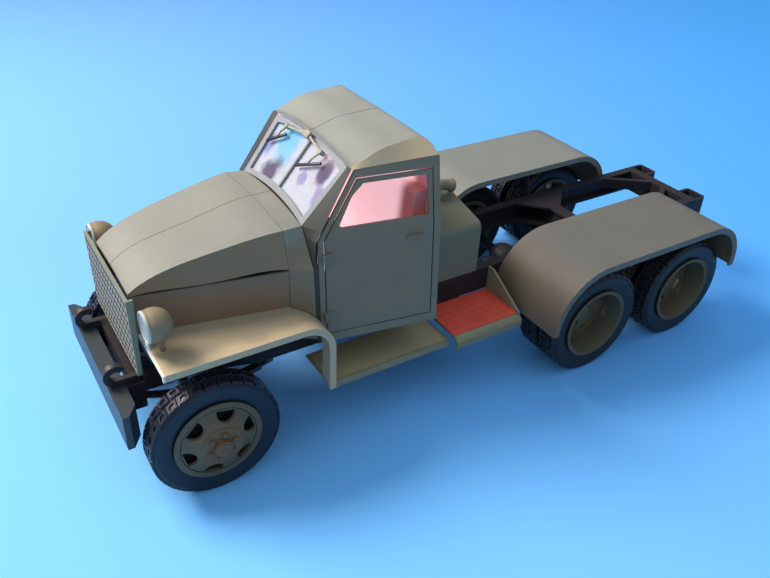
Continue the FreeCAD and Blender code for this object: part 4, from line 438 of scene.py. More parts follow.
LAMP_OLIVE = (0.29, 0.19, 0.11)
LAMP_RIM_PALE = (0.48, 0.44, 0.34)
LAMP_GLASS = (0.80, 0.84, 0.88)
SMALL_LAMP_GLASS = (0.82, 0.84, 0.86)
LATTICE_GREY = (0.43, 0.44, 0.40)
LATTICE_EDGE = (0.20, 0.20, 0.13)
LINKAGE_OLIVE = (0.33, 0.29, 0.20)

# Tyre walls: a navy that is partly a painted reflection of the blue floor, and a dark copy on the
# rear tyres as painted shade; the tread's lighter colour is a painted sheen
TYRE_BLUE = (0.013, 0.017, 0.028)
TYRE_SHADE = (0.018, 0.014, 0.012)
TYRE_TREAD_SHEEN = (0.030, 0.026, 0.040)
RIM_GREY = (0.115, 0.075, 0.038)
RIM_BROWN = (0.165, 0.085, 0.036)
RIM_DEEP = (0.11, 0.085, 0.045)

# The windscreen's reflections: place across, height, radius in millimetres, and colour
FILM_WHITE_REFLECTION = (0.50, 0.52, 0.58)
FILM_SKY = (0.22, 0.50, 0.68)
FILM_PURPLE = (0.085, 0.08, 0.15)
FILM_VIOLET = (0.30, 0.29, 0.48)
FILM_PATCHES = [(-9, 79, 6.5, FILM_SKY), (-9, 71.5, 4.5, FILM_PURPLE),
                (-17, 76, 3.5, FILM_VIOLET), (13.5, 79, 3.8, FILM_PURPLE),
                (16.5, 75, 2.6, FILM_VIOLET), (6, 75.5, 2.0, FILM_VIOLET)]


def new_material(name):
    material = bpy.data.materials.new(name)
    material.use_nodes = True
    material.node_tree.nodes.clear()
    return material, Board(material.node_tree)


def finish_card(board, colour, mottle, speckle, rough, bump, gloss, glow=None):
    """The card's own shader: grain, fine relief and, inside the cab, a faint painted glow that
    stands in for light.
    """
    grain = board.use(CARD_GRAIN, Colour=colour, Mottle=mottle, Speckle=speckle)
    finish = board.add("ShaderNodeBsdfPrincipled")
    board.feed(finish.inputs["Base Color"], grain["Colour"])
    if glow:
        board.feed(finish.inputs["Emission Color"], glow)
        finish.inputs["Emission Strength"].default_value = PAINTED_GLOW_STRENGTH
    finish.inputs["Roughness"].default_value = rough
    finish.inputs["Specular IOR Level"].default_value = gloss
    relief = board.add("ShaderNodeBump")
    relief.inputs["Strength"].default_value = bump
    relief.inputs["Distance"].default_value = 0.05 * MM
    board.feed(relief.inputs["Height"], grain["Height"])
    board.feed(finish.inputs["Normal"], relief.outputs[0])
    board.feed(board.add("ShaderNodeOutputMaterial").inputs[0], finish.outputs[0])


def facing_inwards(board, split, axis):
    """A mask of the faces that look into the cab along an axis."""
    facing = board.normal()
    if axis == "Y":
        inward = board.math("MULTIPLY", board.math("SIGN", split["Y"]), facing["Y"])
    elif axis == "Z":
        inward = facing["Z"]
    else:
        inward = board.math("MULTIPLY", facing["X"], -1.0)
    return board.ramp(inward, -0.55, -0.35, 1.0, 0.0)


def card(name, base, spray=None, box=None, width=4.0, lines=(), sheet=None, edge=BOARD_GREY,
         lining=None, tint=None, flanks=None, mottle=0.22, speckle=0.42, rough=0.62,
         bump=0.35, gloss=0.5, glow=None):
    """Printed card. Tint fades to another colour along an axis, spray darkens a box's borders,
    flanks gives the faces that look sideways another colour as painted light and shade, lines are
    seams, lining colours the faces that look into the cab and gives them a faint painted glow,
    light that stands in for the light inside the cab, and sheet is the card's normal for its bare
    edges."""
    material, board = new_material(name)
    split = board.place()[1]
    colour = base
    if tint:
        axis, low, high, other = tint
        colour = board.mix(board.ramp(split[axis], low, high), colour, other)
    if spray:
        limits = {}
        for index, letter in enumerate("XYZ"):
            limits["Low_" + letter] = box[0][index]
            limits["High_" + letter] = box[1][index]
        mask = board.use(EDGE_SPRAY, Width=width * MM, **limits)["Mask"]
        colour = board.mix(board.math("MULTIPLY", mask, 0.8), colour, spray)
    # Faces that look sideways take another colour: painted light and shade
    if flanks:
        shade, low, high = flanks
        sideways = board.math("ABSOLUTE", board.normal()["Y"])
        colour = board.mix(board.ramp(sideways, low, high), colour, shade)
    for axis, at, half, ink in lines:
        distance = board.math("SUBTRACT", split[axis], at)
        mask = board.use(THIN_LINE, Distance=distance, Half_Width=half * MM)["Mask"]
        colour = board.mix(mask, colour, ink)
    if lining:
        shade, axis = lining
        inside = facing_inwards(board, split, axis)
        colour = board.mix(inside, colour, shade)
        # Painted glow on the inward faces, standing in for the light inside the cab
        lit = board.ramp(split["X"], GLOW_FULL, GLOW_FROM, 1.0, 0.0)
        glow = board.mix(board.math("MULTIPLY", inside, lit), (0, 0, 0), CORAL_PAINTED_GLOW)
    if glow:
        # Painted shade in the corner nearest the camera: the glow fades out and, without a lining,
        # the colour darkens
        shaded = board.ramp(split["Y"], *SHADED_CORNER)
        glow = board.mix(shaded, glow, (0, 0, 0))
        if not lining:
            colour = board.mix(shaded, colour, CORAL_CORNER_SHADE)
    if sheet:
        mask = board.use(CUT_EDGE, Sheet_Normal=sheet)["Mask"]
        colour = board.mix(mask, colour, edge)
    finish_card(board, colour, mottle, speckle, rough, bump, gloss, glow)
    return material


def round_card(name, inner, outer, axle, radius, width, mottle=0.2, rough=0.6, bump=0.3,
               gloss=0.5):
    """Card for a wheel, coloured by the distance from its axle."""
    material, board = new_material(name)
    fade = board.use(ROUND_FADE, Centre_X=axle.x, Centre_Z=axle.z, Radius=radius * MM,
                     Width=width * MM)
    colour = board.mix(fade["Mask"], outer, inner)
    finish_card(board, colour, mottle, 0.16, rough, bump, gloss)
    return material


def clear_film(name, tone, alpha, patches=()):
    """Thin clear film with faint streaks that lighten its tone and vary its gloss and alpha; on
    the windscreen its whitish tone is a painted reflection. Patches are soft painted reflections
    drawn at a place across and a height, in millimetres, with a radius and a colour."""
    material, board = new_material(name)
    coordinates, split = board.place()
    streak = board.noise(board.stretched(coordinates, (1, 0.25, 1)), 260, 3, 0.6)
    colour = board.mix(streak, tone, tuple(min(1.0, part * 1.12) for part in tone))
    wave = board.math("MULTIPLY", board.math("SUBTRACT", board.noise(coordinates, 190, 2), 0.5),
                      5 * MM)
    for y, z, radius, shade in patches:
        across = board.math("POWER", board.math("SUBTRACT", split["Y"], y * MM), 2.0)
        upward = board.math("POWER", board.math("SUBTRACT", split["Z"], z * MM), 2.0)
        reach = board.math("SQRT", board.math("ADD", across, upward))
        mask = board.ramp(board.math("ADD", reach, wave), radius * 0.45 * MM,
                          radius * 1.1 * MM, 1.0, 0.0)
        colour = board.mix(mask, colour, shade)
    finish = board.add("ShaderNodeBsdfPrincipled")
    board.feed(finish.inputs["Base Color"], colour)
    board.feed(finish.inputs["Roughness"], board.ramp(streak, 0.3, 0.8, 0.08, 0.2))
    board.feed(finish.inputs["Alpha"], board.ramp(streak, 0.2, 0.9, alpha * 0.8, alpha))
    finish.inputs["IOR"].default_value = 1.5
    board.feed(board.add("ShaderNodeOutputMaterial").inputs[0], finish.outputs[0])
    return material


def paint(node, material):
    """Gives a CAD node's own mesh a new material."""
    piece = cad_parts[node]
    piece.data.materials.clear()
    piece.data.materials.append(material)


def box_of(node, margin=(0, 0, 0)):
    low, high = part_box(node)
    spread = Vector(margin) * MM
    return tuple(low - spread), tuple(high + spread)


# Tyres: a carcass spun from its section, with two staggered rows of pocketed lugs

LUG_COUNT = 31
LUG_DEPTH = 0.6 * MM
LUG_ROOT = 0.3 * MM
LUG_CLEARANCE = 0.2 * MM
LUG_WIDTH = TYRE_WIDTH / 2 - 0.8 * MM
LUG_OFFSET = LUG_WIDTH / 2 + 0.1 * MM
LUG_LENGTH = 3.55 * MM
LUG_SLANT = 0.35 * MM
LUG_TAPER = (0.84, 0.8, 1)
POCKET_MARGIN = 0.55 * MM
POCKET_ROUNDING = 0.72 * MM
POCKET_DEPTH = 0.6 * MM
POCKET_FLOOR = (0.6 * MM, 0.75 * MM)
SHOULDER_ROUNDING = 1.75 * MM
BEAD_NARROWING = 0.77


def make_carcass(name, centre):
    depth = TYRE_RADIUS - LUG_DEPTH - BEAD_RADIUS
    section_middle = centre + Vector((0, 0, BEAD_RADIUS + depth / 2))
    carcass = start(name, bpy.ops.mesh.primitive_plane_add, size=1, location=section_middle,
                    rotation=(0, math.pi / 2, 0))
    everything()
    bpy.ops.transform.resize(value=(1, TYRE_WIDTH, depth), center_override=section_middle)
    inner = lambda vert: vert.co.z < section_middle.z
    choose(carcass, "VERT", inner)
    bpy.ops.transform.resize(value=(1, BEAD_NARROWING, 1), center_override=section_middle)
    choose(carcass, "VERT", lambda vert: not inner(vert))
    bpy.ops.mesh.bevel(offset=SHOULDER_ROUNDING, segments=3, affect="VERTICES")
    everything()
    bpy.ops.mesh.spin(steps=80, angle=2 * math.pi, center=centre, axis=(0, 1, 0))
    choose(carcass, "FACE", lambda face: abs(face.normal.x) > 0.999
           and abs(face.calc_center_median().x - centre.x) < 1e-6)
    bpy.ops.mesh.delete(type="FACE")
    return close(carcass, 32)


def make_lug(centre, side):
    """One lug on top of the tyre, slanted, with a D-shaped pocket sunk in its top. Its top
    stays a little under the solid tyre's, to clear the bumper at full lock."""
    foot = TYRE_RADIUS - LUG_DEPTH - LUG_ROOT
    height = TYRE_RADIUS - LUG_CLEARANCE - foot
    place = centre + Vector((0, side * LUG_OFFSET, foot + height / 2))
    lug = start("lug", bpy.ops.mesh.primitive_cube_add, size=1, location=place)
    everything()
    bpy.ops.transform.resize(value=(LUG_LENGTH, LUG_WIDTH, height), center_override=place)
    choose(lug, "FACE", lambda face: face.normal.y > 0.9)
    bpy.ops.transform.translate(value=(side * LUG_SLANT, 0, 0))
    choose(lug, "FACE", lambda face: face.normal.z > 0.9)
    bpy.ops.transform.resize(value=LUG_TAPER, center_override=place)
    choose(lug, "FACE", lambda face: face.normal.z > 0.9)
    bpy.ops.mesh.inset(thickness=POCKET_MARGIN)
    pocket_reach = LUG_LENGTH / 2 - POCKET_MARGIN * 0.8
    choose(lug, "VERT", lambda vert: abs(vert.co.x - place.x) < pocket_reach
           and vert.co.z > place.z and (place.y - vert.co.y) * side > 0)
    bpy.ops.mesh.bevel(offset=POCKET_ROUNDING, segments=3, affect="VERTICES")
    choose(lug, "FACE", lambda face: face.normal.z > 0.9
           and abs(face.calc_center_median().x - place.x) < POCKET_FLOOR[0]
           and abs(face.calc_center_median().y - place.y) < POCKET_FLOOR[1])
    bpy.ops.mesh.extrude_region_move(
        TRANSFORM_OT_translate={"value": (0, 0, -POCKET_DEPTH)})
    return close(lug)


def make_tyre(name, centre):
    axis = Vector((0, 1, 0))
    parts = [make_carcass(name, centre)]
    for side in (1, -1):
        lug = make_lug(centre, side)
        if side < 0:
            lug.data.transform(turn_about(centre, axis, math.pi / LUG_COUNT))
        parts.append(ring_of(lug, "lugs", centre, axis, LUG_COUNT))
    return joined(name, parts)


def tyre_material(name, axle):
    # Front walls take the navy with its painted blue reflection, rear walls the painted shade, and
    # the tread a painted sheen
    walls = TYRE_BLUE if axle.x > FRONT_AXLE.x - 10 * MM else TYRE_SHADE
    return round_card(name, walls, TYRE_TREAD_SHEEN, axle, TYRE_RADIUS / MM - 0.5, 0.4,
                      mottle=0.35, rough=0.36, bump=0.4, gloss=0.32)


def make_all_tyres():
    pattern = make_tyre("tyre_front_left_lugged", FRONT_AXLE)
    axles = [("tyre_front_", "wheel_front_", FRONT_AXLE.x, [FRONT_AXLE.y])]
    for number, axle in REAR_AXLES.items():
        axles.append(("tyres_rear%d_" % number, "wheels_rear%d_" % number, axle.x, TWIN_CENTRES))
    for number, (node, body, x, ys) in enumerate(axles, 1):
        rubber = tyre_material("tyre_card_%d" % number, Vector((x, 0, FRONT_AXLE.z)))
        for side, sign in SIDES.items():
            for place, y in zip(("near", "off"), ys):
                move = Matrix.Translation(Vector((x, sign * y, FRONT_AXLE.z)) - FRONT_AXLE)
                tyre = own_copy(pattern, "%s%s_%s_lugged" % (node, side, place), move)
                fit(tyre, body + side, "tyre_card", rubber, node + side)
    bpy.data.objects.remove(pattern)


# Wheels: rims drawn out of a drum by insets, with D-shaped hand holes cut through

DRUM_RADIUS = 11.9 * MM
FRONT_DRUM_DEPTH = 6.6 * MM
REAR_DRUM_DEPTH = 16.6 * MM
# An inset and a push along the axle in millimetres, and a third number widens the step
LIP = [(0, 0.6, 1.05), (0, 0.35)]
FRONT_FACE = LIP + [(0.12, 0.05), (1.45, 0), (0.06, -0.4), (0.16, 0), (0.1, 0.3), (4.75, 2.0),
                    (0.04, 0.3), (0.14, 0.1), (3.2, 0), (0.06, 1.6), (0.18, 0.15), (0.3, 0),
                    (0.05, 0.3), (0.75, 0), (0.05, -0.1), (0.14, 0), (0.05, 0.1)]
FRONT_BACK = LIP + [(1.5, 0), (0, -7.2), (4.9, -2.2), (3.2, 0), (0, 4.9), (1.3, 0), (0, -7.6)]
REAR_FACE = LIP + [(0.1, 0.05), (0.3, 0), (0.08, -0.25), (0.75, 0), (0.08, -0.2), (0.02, -8.1),
                   (0.3, -0.15), (4.4, 0.6), (3.3, 0), (0.08, 1.2), (0.25, 0.15)]
REAR_BACK = LIP + [(0.1, 0.05), (1.2, 0), (0.02, -8.9), (4.6, 0.5), (3.3, 0), (0, 2.2),
                   (1.3, 0), (0, -3.4)]
HOLE_CHORD = 10.1 * MM
HOLE_MIDDLE = 9.6 * MM
HOLE_CUT = 6 * MM
FRONT_HOLES = {"first": -15, "radius": 2.65 * MM, "out": 4.5 * MM}
REAR_HOLES = {"first": 30, "radius": 2.5 * MM, "out": 0}
NUT_HEIGHT = 0.9 * MM
NUT_CHAMFER = 0.2 * MM
NUT_DOME = 0.25 * MM
FRONT_NUTS = {"out": 6.9 * MM, "reach": 3.9 * MM, "first": -13, "size": 0.75 * MM}
REAR_NUTS = {"out": 1.3 * MM, "reach": 4.2 * MM, "first": 0, "size": 0.7 * MM}
REAR_TURN = 30
WHEEL_SMOOTH = 28


def drawn(piece, side, centre, steps):
    """Works one end of a drum. A step with no inset extrudes."""
    choose(piece, "FACE", lambda face: face.normal.y * side > 0.9)
    for step in steps:
        inset, push = step[0] * MM, step[1] * MM * side
        if inset:
            bpy.ops.mesh.inset(thickness=inset)
            bpy.ops.transform.translate(value=(0, push, 0))
        else:
            bpy.ops.mesh.extrude_region_move(TRANSFORM_OT_translate={"value": (0, push, 0)})
        if len(step) > 2:
            bpy.ops.transform.resize(value=(step[2], 1, step[2]), center_override=centre)


def cut_holes(rim, centre, first, radius, out):
    """Six hand holes, each flat outside and round inside, cut through the disc."""
    place = centre + Vector((0, out, HOLE_MIDDLE))
    cutter = start("hand_hole", bpy.ops.mesh.primitive_cylinder_add, vertices=32,
                   radius=radius, depth=HOLE_CUT, location=place,
                   rotation=(math.pi / 2, 0, 0))
    everything()
    bpy.ops.mesh.bisect(plane_co=centre + Vector((0, 0, HOLE_CHORD)), plane_no=(0, 0, 1),
                        use_fill=True, clear_outer=True)
    close(cutter)
    cutter.data.transform(turn_about(centre, Vector((0, 1, 0)), math.radians(first)))
    cutter = ring_of(cutter, "hand_holes", centre, Vector((0, 1, 0)), 6)
    pick_up(rim)
    cut = rim.modifiers.new("hand_holes", "BOOLEAN")
    cut.operation = "DIFFERENCE"
    cut.object = cutter
    bpy.ops.object.modifier_apply(modifier=cut.name)
    bpy.data.objects.remove(cutter)
    pick_up(rim)
    bpy.ops.object.shade_smooth_by_angle(angle=math.radians(WHEEL_SMOOTH))


def make_nuts(centre, out, reach, first, size):
    """Six domed hexagon nuts round an axle."""
    axis = Vector((0, 1, 0))
    place = centre + Vector((0, out, reach))
    nut = start("wheel_nut", bpy.ops.mesh.primitive_cylinder_add, vertices=6,
                radius=size, depth=NUT_HEIGHT, location=place, rotation=(math.pi / 2, 0, 0))
    choose(nut, "FACE", lambda face: face.normal.y > 0.9)
    bpy.ops.mesh.inset(thickness=NUT_CHAMFER)
    bpy.ops.transform.translate(value=(0, NUT_DOME, 0))
    close(nut)
    nut.data.transform(turn_about(centre, axis, math.radians(first)))
    return ring_of(nut, "wheel_nuts", centre, axis, 6)


def make_front_wheel(brown, soot):
    """The front wheel's dished disc, hub and nuts, and the dark drum behind it."""
    centre = FRONT_AXLE
    rim = start("front_wheel_left", bpy.ops.mesh.primitive_cylinder_add, vertices=96,
                radius=DRUM_RADIUS, depth=FRONT_DRUM_DEPTH, location=centre,
                rotation=(math.pi / 2, 0, 0))
    drawn(rim, 1, centre, FRONT_FACE)
    drawn(rim, -1, centre, FRONT_BACK)
    close(rim, WHEEL_SMOOTH)
    cut_holes(rim, centre, **FRONT_HOLES)
    left = joined("front_wheel_left", [rim, make_nuts(centre, **FRONT_NUTS)])
    drum = flat_ring("front_drum_left", centre + Vector((0, 1.6 * MM, 0)), 10.95 * MM, 2.8 * MM,
                     0.8 * MM)
    pieces = {"left": (left, drum)}
    pieces["right"] = (mirrored(left, "front_wheel_right"), mirrored(drum, "front_drum_right"))
    for side, (wheel, plate) in pieces.items():
        fit(wheel, "wheel_front_" + side, "rim_card", brown, "rim_front_" + side)
        fit(plate, "wheel_front_" + side, "black_card", soot)


def make_rear_wheels(browns):
    """The deep twin wheels, drawn from both ends to a disc in the middle."""
    centre = REAR_AXLES[1]
    rim = start("rear_wheels", bpy.ops.mesh.primitive_cylinder_add, vertices=80,
                radius=DRUM_RADIUS, depth=REAR_DRUM_DEPTH, location=centre,
                rotation=(math.pi / 2, 0, 0))
    drawn(rim, 1, centre, REAR_FACE)
    drawn(rim, -1, centre, REAR_BACK)
    close(rim, WHEEL_SMOOTH)
    cut_holes(rim, centre, **REAR_HOLES)
    pattern = joined("rear_wheels", [rim, make_nuts(centre, **REAR_NUTS)])
    for number, axle in REAR_AXLES.items():
        turn = turn_about(centre, Vector((0, 1, 0)), math.radians(REAR_TURN * (number - 1)))
        left = own_copy(pattern, "rear%d_wheels_left" % number,
                        Matrix.Translation(axle - centre) @ turn)
        right = mirrored(left, "rear%d_wheels_right" % number)
        for side, wheel in (("left", left), ("right", right)):
            fit(wheel, "wheels_rear%d_%s" % (number, side), "rim_card", browns[number],
                "rims_rear%d_%s" % (number, side))
    bpy.data.objects.remove(pattern)


# Brush guard: the CAD lattice with its edges drawn forward to a thin card's depth

GUARD_TOP_BAND = 1.1 * MM
GUARD_TOP_DEPTH = 1.9 * MM
GUARD_SIDE_DEPTH = 1.15 * MM


def make_guard(material):
    guard = own_copy(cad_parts["brush_guard"], "brush_guard_card", Matrix.Identity(4))
    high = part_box("brush_guard")[1]
    pick_up(guard)
    bpy.ops.object.mode_set(mode="EDIT")
    everything()
    bpy.ops.mesh.remove_doubles(threshold=0.001 * MM)
    for depth, top in ((GUARD_TOP_DEPTH, True), (GUARD_SIDE_DEPTH, False)):
        behind = high.x - depth
        choose(guard, "VERT", lambda vert: vert.co.x < behind - 0.05 * MM
               and (vert.co.z > high.z - GUARD_TOP_BAND) == top)
        bpy.ops.transform.resize(value=(0, 1, 1), center_override=(behind, 0, 0))
    close(guard)
    fit(guard, "truck", "guard_card", material, "brush_guard")


# Fuel filler: a bent pipe that turns back and flares

FILLER_FOOT = Vector((FRONT_AXLE.x - 88.8 * MM, 1.2 * MM, 51.2 * MM))
FILLER_RADIUS = 1.75 * MM
FILLER_RISE = Vector((0, 0, 4.2 * MM))
FILLER_BEND = Vector((-3.7 * MM, 0, 0))
FILLER_TURN = math.radians(105)
FILLER_WAY = Vector((-0.966, 0, -0.259))
# A push along the pipe in millimetres and how far it widens there
FILLER_FLARE = ((2.2, 1.0), (0.9, 1.32), (0.7, 1.0))
FILLER_WALL = 0.35 * MM
FILLER_MOUTH = 1.2 * MM


def make_filler(material):
    pipe = start("fuel_filler", bpy.ops.mesh.primitive_circle_add, vertices=32,
                 radius=FILLER_RADIUS, fill_type="NGON", location=FILLER_FOOT)
    everything()
    bpy.ops.mesh.extrude_region_move(TRANSFORM_OT_translate={"value": FILLER_RISE})
    bpy.ops.mesh.spin(steps=14, angle=FILLER_TURN,
                      center=FILLER_FOOT + FILLER_RISE + FILLER_BEND, axis=(0, 1, 0))
    for reach, scale in FILLER_FLARE:
        bpy.ops.mesh.extrude_region_move(
            TRANSFORM_OT_translate={"value": FILLER_WAY * (reach * MM)})
        if scale != 1.0:
            bpy.ops.transform.resize(value=(scale, scale, scale))
    bpy.ops.mesh.inset(thickness=FILLER_WALL)
    bpy.ops.mesh.extrude_region_move(
        TRANSFORM_OT_translate={"value": -FILLER_WAY * FILLER_MOUTH})
    fit(close(pipe, 35), "truck", "khaki_card", material, "tank_filler")


# Wipers in the windscreen's sloping plane

SCREEN_FOOT = Vector((FRONT_AXLE.x - 33.5 * MM, 0, 68.4 * MM))
SCREEN_HEAD = Vector((FRONT_AXLE.x - 46.3 * MM, 0, 83.3 * MM))
SCREEN_UP = (SCREEN_HEAD - SCREEN_FOOT).normalized()
SCREEN_OUT = Vector((SCREEN_UP.z, 0, -SCREEN_UP.x))
# Places across the screen and up it, in millimetres
MOTOR_AT = (-0.6, 20.4)
PIVOT_UP = 18.6
ELBOW_UP = 16.4
HOLD_UP = 14.2
ELBOW_SHARE = 0.55
WIPER_ARMS = ((-11.9, (-17.2, -10.4)), (9.0, (1.8, 11.2)))
WIPER_BLADES = ((-17.4, 11.6, -10.6, 16.6), (1.9, 11.4, 11.3, 16.2))


def on_screen(y, up, out=0.0):
    """A place on the windscreen, from its foot up and out of its plane, in millimetres."""
    return SCREEN_FOOT + Vector((0, y, 0)) * MM + SCREEN_UP * (up * MM) + SCREEN_OUT * (out * MM)


def bar_between(name, start_place, end_place, width, depth, out):
    """A flat bar between two places, bevelled, its depth along out."""
    along = end_place - start_place
    place = (start_place + end_place) / 2
    bar = start(name, bpy.ops.mesh.primitive_cube_add, size=1)
    everything()
    bpy.ops.transform.resize(value=(along.length, width * MM, depth * MM))
    choose(bar, "EDGE", lambda edge: True)
    bpy.ops.mesh.bevel(offset=min(width, depth) * 0.22 * MM, segments=2, affect="EDGES")
    close(bar, 40)
    x_axis = along.normalized()
    z_axis = (out - x_axis * out.dot(x_axis)).normalized()
    y_axis = z_axis.cross(x_axis)
    turn = Matrix((x_axis, y_axis, z_axis)).transposed().to_4x4()
    bar.data.transform(Matrix.Translation(place) @ turn)
    return bar


def make_wipers(dark, olive):
    out = SCREEN_OUT
    motor_place = on_screen(*MOTOR_AT, 1.2)
    motor = bar_between("motor", motor_place - Vector((0, 1.5 * MM, 0)),
                        motor_place + Vector((0, 1.5 * MM, 0)), 2.2, 1.5, out)
    pieces = [motor]
    for pivot_y, tip_ys in WIPER_ARMS:
        pivot = on_screen(pivot_y, PIVOT_UP, 1.0)
        boss = start("pivot", bpy.ops.mesh.primitive_cylinder_add, vertices=20,
                     radius=0.75 * MM, depth=1.7 * MM,
                     location=on_screen(pivot_y, PIVOT_UP, 0.75),
                     rotation=out.to_track_quat("Z", "Y").to_euler())
        choose(boss, "EDGE", is_corner)
        bpy.ops.mesh.bevel(offset=0.15 * MM, segments=2, affect="EDGES")
        pieces.append(close(boss, 40))
        pieces.append(bar_between("link", motor_place, pivot, 0.7, 0.5, out))
        blade_middle = (tip_ys[0] + tip_ys[1]) / 2
        elbow = on_screen(blade_middle + (pivot_y - blade_middle) * ELBOW_SHARE, ELBOW_UP, 1.3)
        hold = on_screen(blade_middle, HOLD_UP, 0.8)
        pieces.append(bar_between("arm_top", pivot, elbow, 0.7, 0.5, out))
        pieces.append(bar_between("arm_low", elbow, hold, 0.6, 0.45, out))
    linkage = joined("wiper_linkage", pieces)
    fit(linkage, "truck", "khaki_card", olive, "wipers")
    blades = []
    for low_y, low_up, high_y, high_up in WIPER_BLADES:
        blades.append(bar_between("blade", on_screen(low_y, low_up, 0.5),
                                  on_screen(high_y, high_up, 0.5), 0.8, 0.8, out))
    fit(joined("wiper_blades", blades), "truck", "black_card", dark)


# Lamp rims and lenses

LAMP_RIM_WIDTH = 0.55 * MM
LAMP_RIM_DEPTH = 1.1 * MM
SMALL_LAMP_DROP = 0.8 * MM
SMALL_LAMP_RADIUS = 1.6 * MM
SMALL_LENS_RADIUS = 1.25 * MM
LENS_FLATNESS = 0.45


def make_lamps(side, rim_material, glass):
    low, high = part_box("headlamp_lenses")
    radius = (high.z - low.z) / 2
    place = Vector((low.x + 0.1 * MM, SIDES[side] * (high.y - radius), (high.z + low.z) / 2))
    rim = flat_ring("lamp_rim", place, radius, radius - LAMP_RIM_WIDTH, LAMP_RIM_DEPTH,
                    axis="X", bevel=0.12, steps=48)
    small_place = place - Vector((0, 0, radius + SMALL_LAMP_DROP))
    small = flat_ring("small_rim", small_place, SMALL_LAMP_RADIUS, 1.2 * MM, 0.5 * MM,
                      axis="X", bevel=0.06, steps=32)
    rims = joined("lamp_rims_" + side, [rim, small])
    fit(rims, "truck", "khaki_card", rim_material)
    dome = start("small_lens_" + side, bpy.ops.mesh.primitive_uv_sphere_add, segments=24,
                 ring_count=12, radius=SMALL_LENS_RADIUS, location=small_place,
                 rotation=(0, math.pi / 2, 0))
    everything()
    bpy.ops.mesh.bisect(plane_co=small_place, plane_no=(-1, 0, 0), use_fill=True,
                        clear_outer=True)
    everything()
    bpy.ops.transform.resize(value=(LENS_FLATNESS, 1, 1), center_override=small_place)
    fit(close(dome, 60), "truck", "clear_film", glass)


# Materials on the CAD nodes

SEAM = ("Y", 0.0, 0.11, SEAM_DARK)
PLANK_PITCH = 2.6 * MM
LEAF_HEIGHTS = (23.5, 24.4, 25.3, 26.2)


def paint_bonnet():
    # The bonnet's sideways faces are painted darker, as painted shade
    paint("bonnet", card("bonnet_card", OLIVE_TOP, BROWN_SPRAY, box_of("bonnet", (6, 2, 900)),
                         3.0, lines=[SEAM], flanks=(BONNET_SIDE_SHADE, 0.45, 0.75)))
    paint("bonnet_sides", card("bonnet_side_card", ENGINE_BROWN, OLIVE_SIDE,
                               box_of("bonnet_sides", (1, 900, 900)), 6.0,
                               tint=("Z", 53 * MM, 60 * MM, ENGINE_TOP)))
    paint("radiator", card("radiator_card", NEAR_BLACK, CHASSIS_BROWN, box_of("radiator"), 3.0))
    paint("headlamps", card("lamp_card", LAMP_OLIVE, BROWN_SPRAY, box_of("headlamps"), 2.0))
    paint("headlamp_lenses", clear_film("lamp_lens", LAMP_GLASS, 0.55))
    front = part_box("front_fenders")[1].x
    paint("front_fenders", card("front_fender_card", FENDER_TOP, FENDER_SPRAY,
                                box_of("front_fenders", (-1, -1, 900)), 5.0,
                                lines=[("X", front, 0.5, FENDER_FRONT)]))


def paint_cab():
    paint("cowl", card("cowl_card", OLIVE_SIDE, BROWN_SPRAY, box_of("cowl", (1, 900, 900)), 2.0,
                       lines=[SEAM], tint=("Z", 62 * MM, 68 * MM, OLIVE_TOP),
                       lining=(CORAL, "Y")))
    for node in ("cab_sides", "door_left", "door_right"):
        paint(node, card(node + "_card", OLIVE_SIDE, OLIVE_DEEP, box_of(node, (0, 900, 0)), 5.0,
                         lining=(CORAL, "Y"), tint=("Z", 66 * MM, 84 * MM, DOOR_TOP)))
    paint("pillars", card("pillar_card", PILLAR_DARK, BROWN_SPRAY,
                          box_of("pillars", (1, 900, 1)), 0.8, lining=(CORAL, "Y")))
    paint("cab_rear_wall", card("rear_wall_card", OLIVE_SIDE, OLIVE_DEEP,
                                box_of("cab_rear_wall", (900, 0, 0)), 6.0,
                                lining=(CORAL, "X")))
    # The cab floor is a darker pink and darkens to near black at its borders, both painted shade
    paint("cab_floor", card("floor_card", CORAL_SHADE, NEAR_BLACK, box_of("cab_floor"), 3.0))
    # The roof's sloping sides are painted lighter, as painted light
    paint("roof", card("roof_card", ROOF_TOP, BROWN_SPRAY, box_of("roof", (2, 1.5, 900)), 2.0,
                       lines=[SEAM], lining=(CORAL, "Z"), flanks=(ROOF_CHEEK_LIGHT, 0.2, 0.36)))
    paint("windscreen_frame", card("screen_frame_card", SCREEN_GREY, BROWN_SPRAY,
                                   box_of("windscreen_frame", (9, 1, 9)), 0.6))
    # The windscreen's whitish tone and soft patches are painted reflections
    paint("windscreen_film", clear_film("screen_film", FILM_WHITE_REFLECTION, 0.82, FILM_PATCHES))
    # The seat takes a painted glow, and a painted shade in its near corner
    paint("seat", card("seat_card", CORAL, CORAL_SHADE, box_of("seat"), 1.0, glow=CORAL_PAINTED_GLOW))
    # The dashboard darkens to near black at its borders, as painted shade
    paint("dashboard", card("dashboard_card", OLIVE_SIDE, NEAR_BLACK, box_of("dashboard"), 3.0))
    paint("steering_wheel", card("steering_card", NEAR_BLACK, STEERING_SHEEN,
                                 box_of("steering_wheel"), 1.0, rough=0.4))


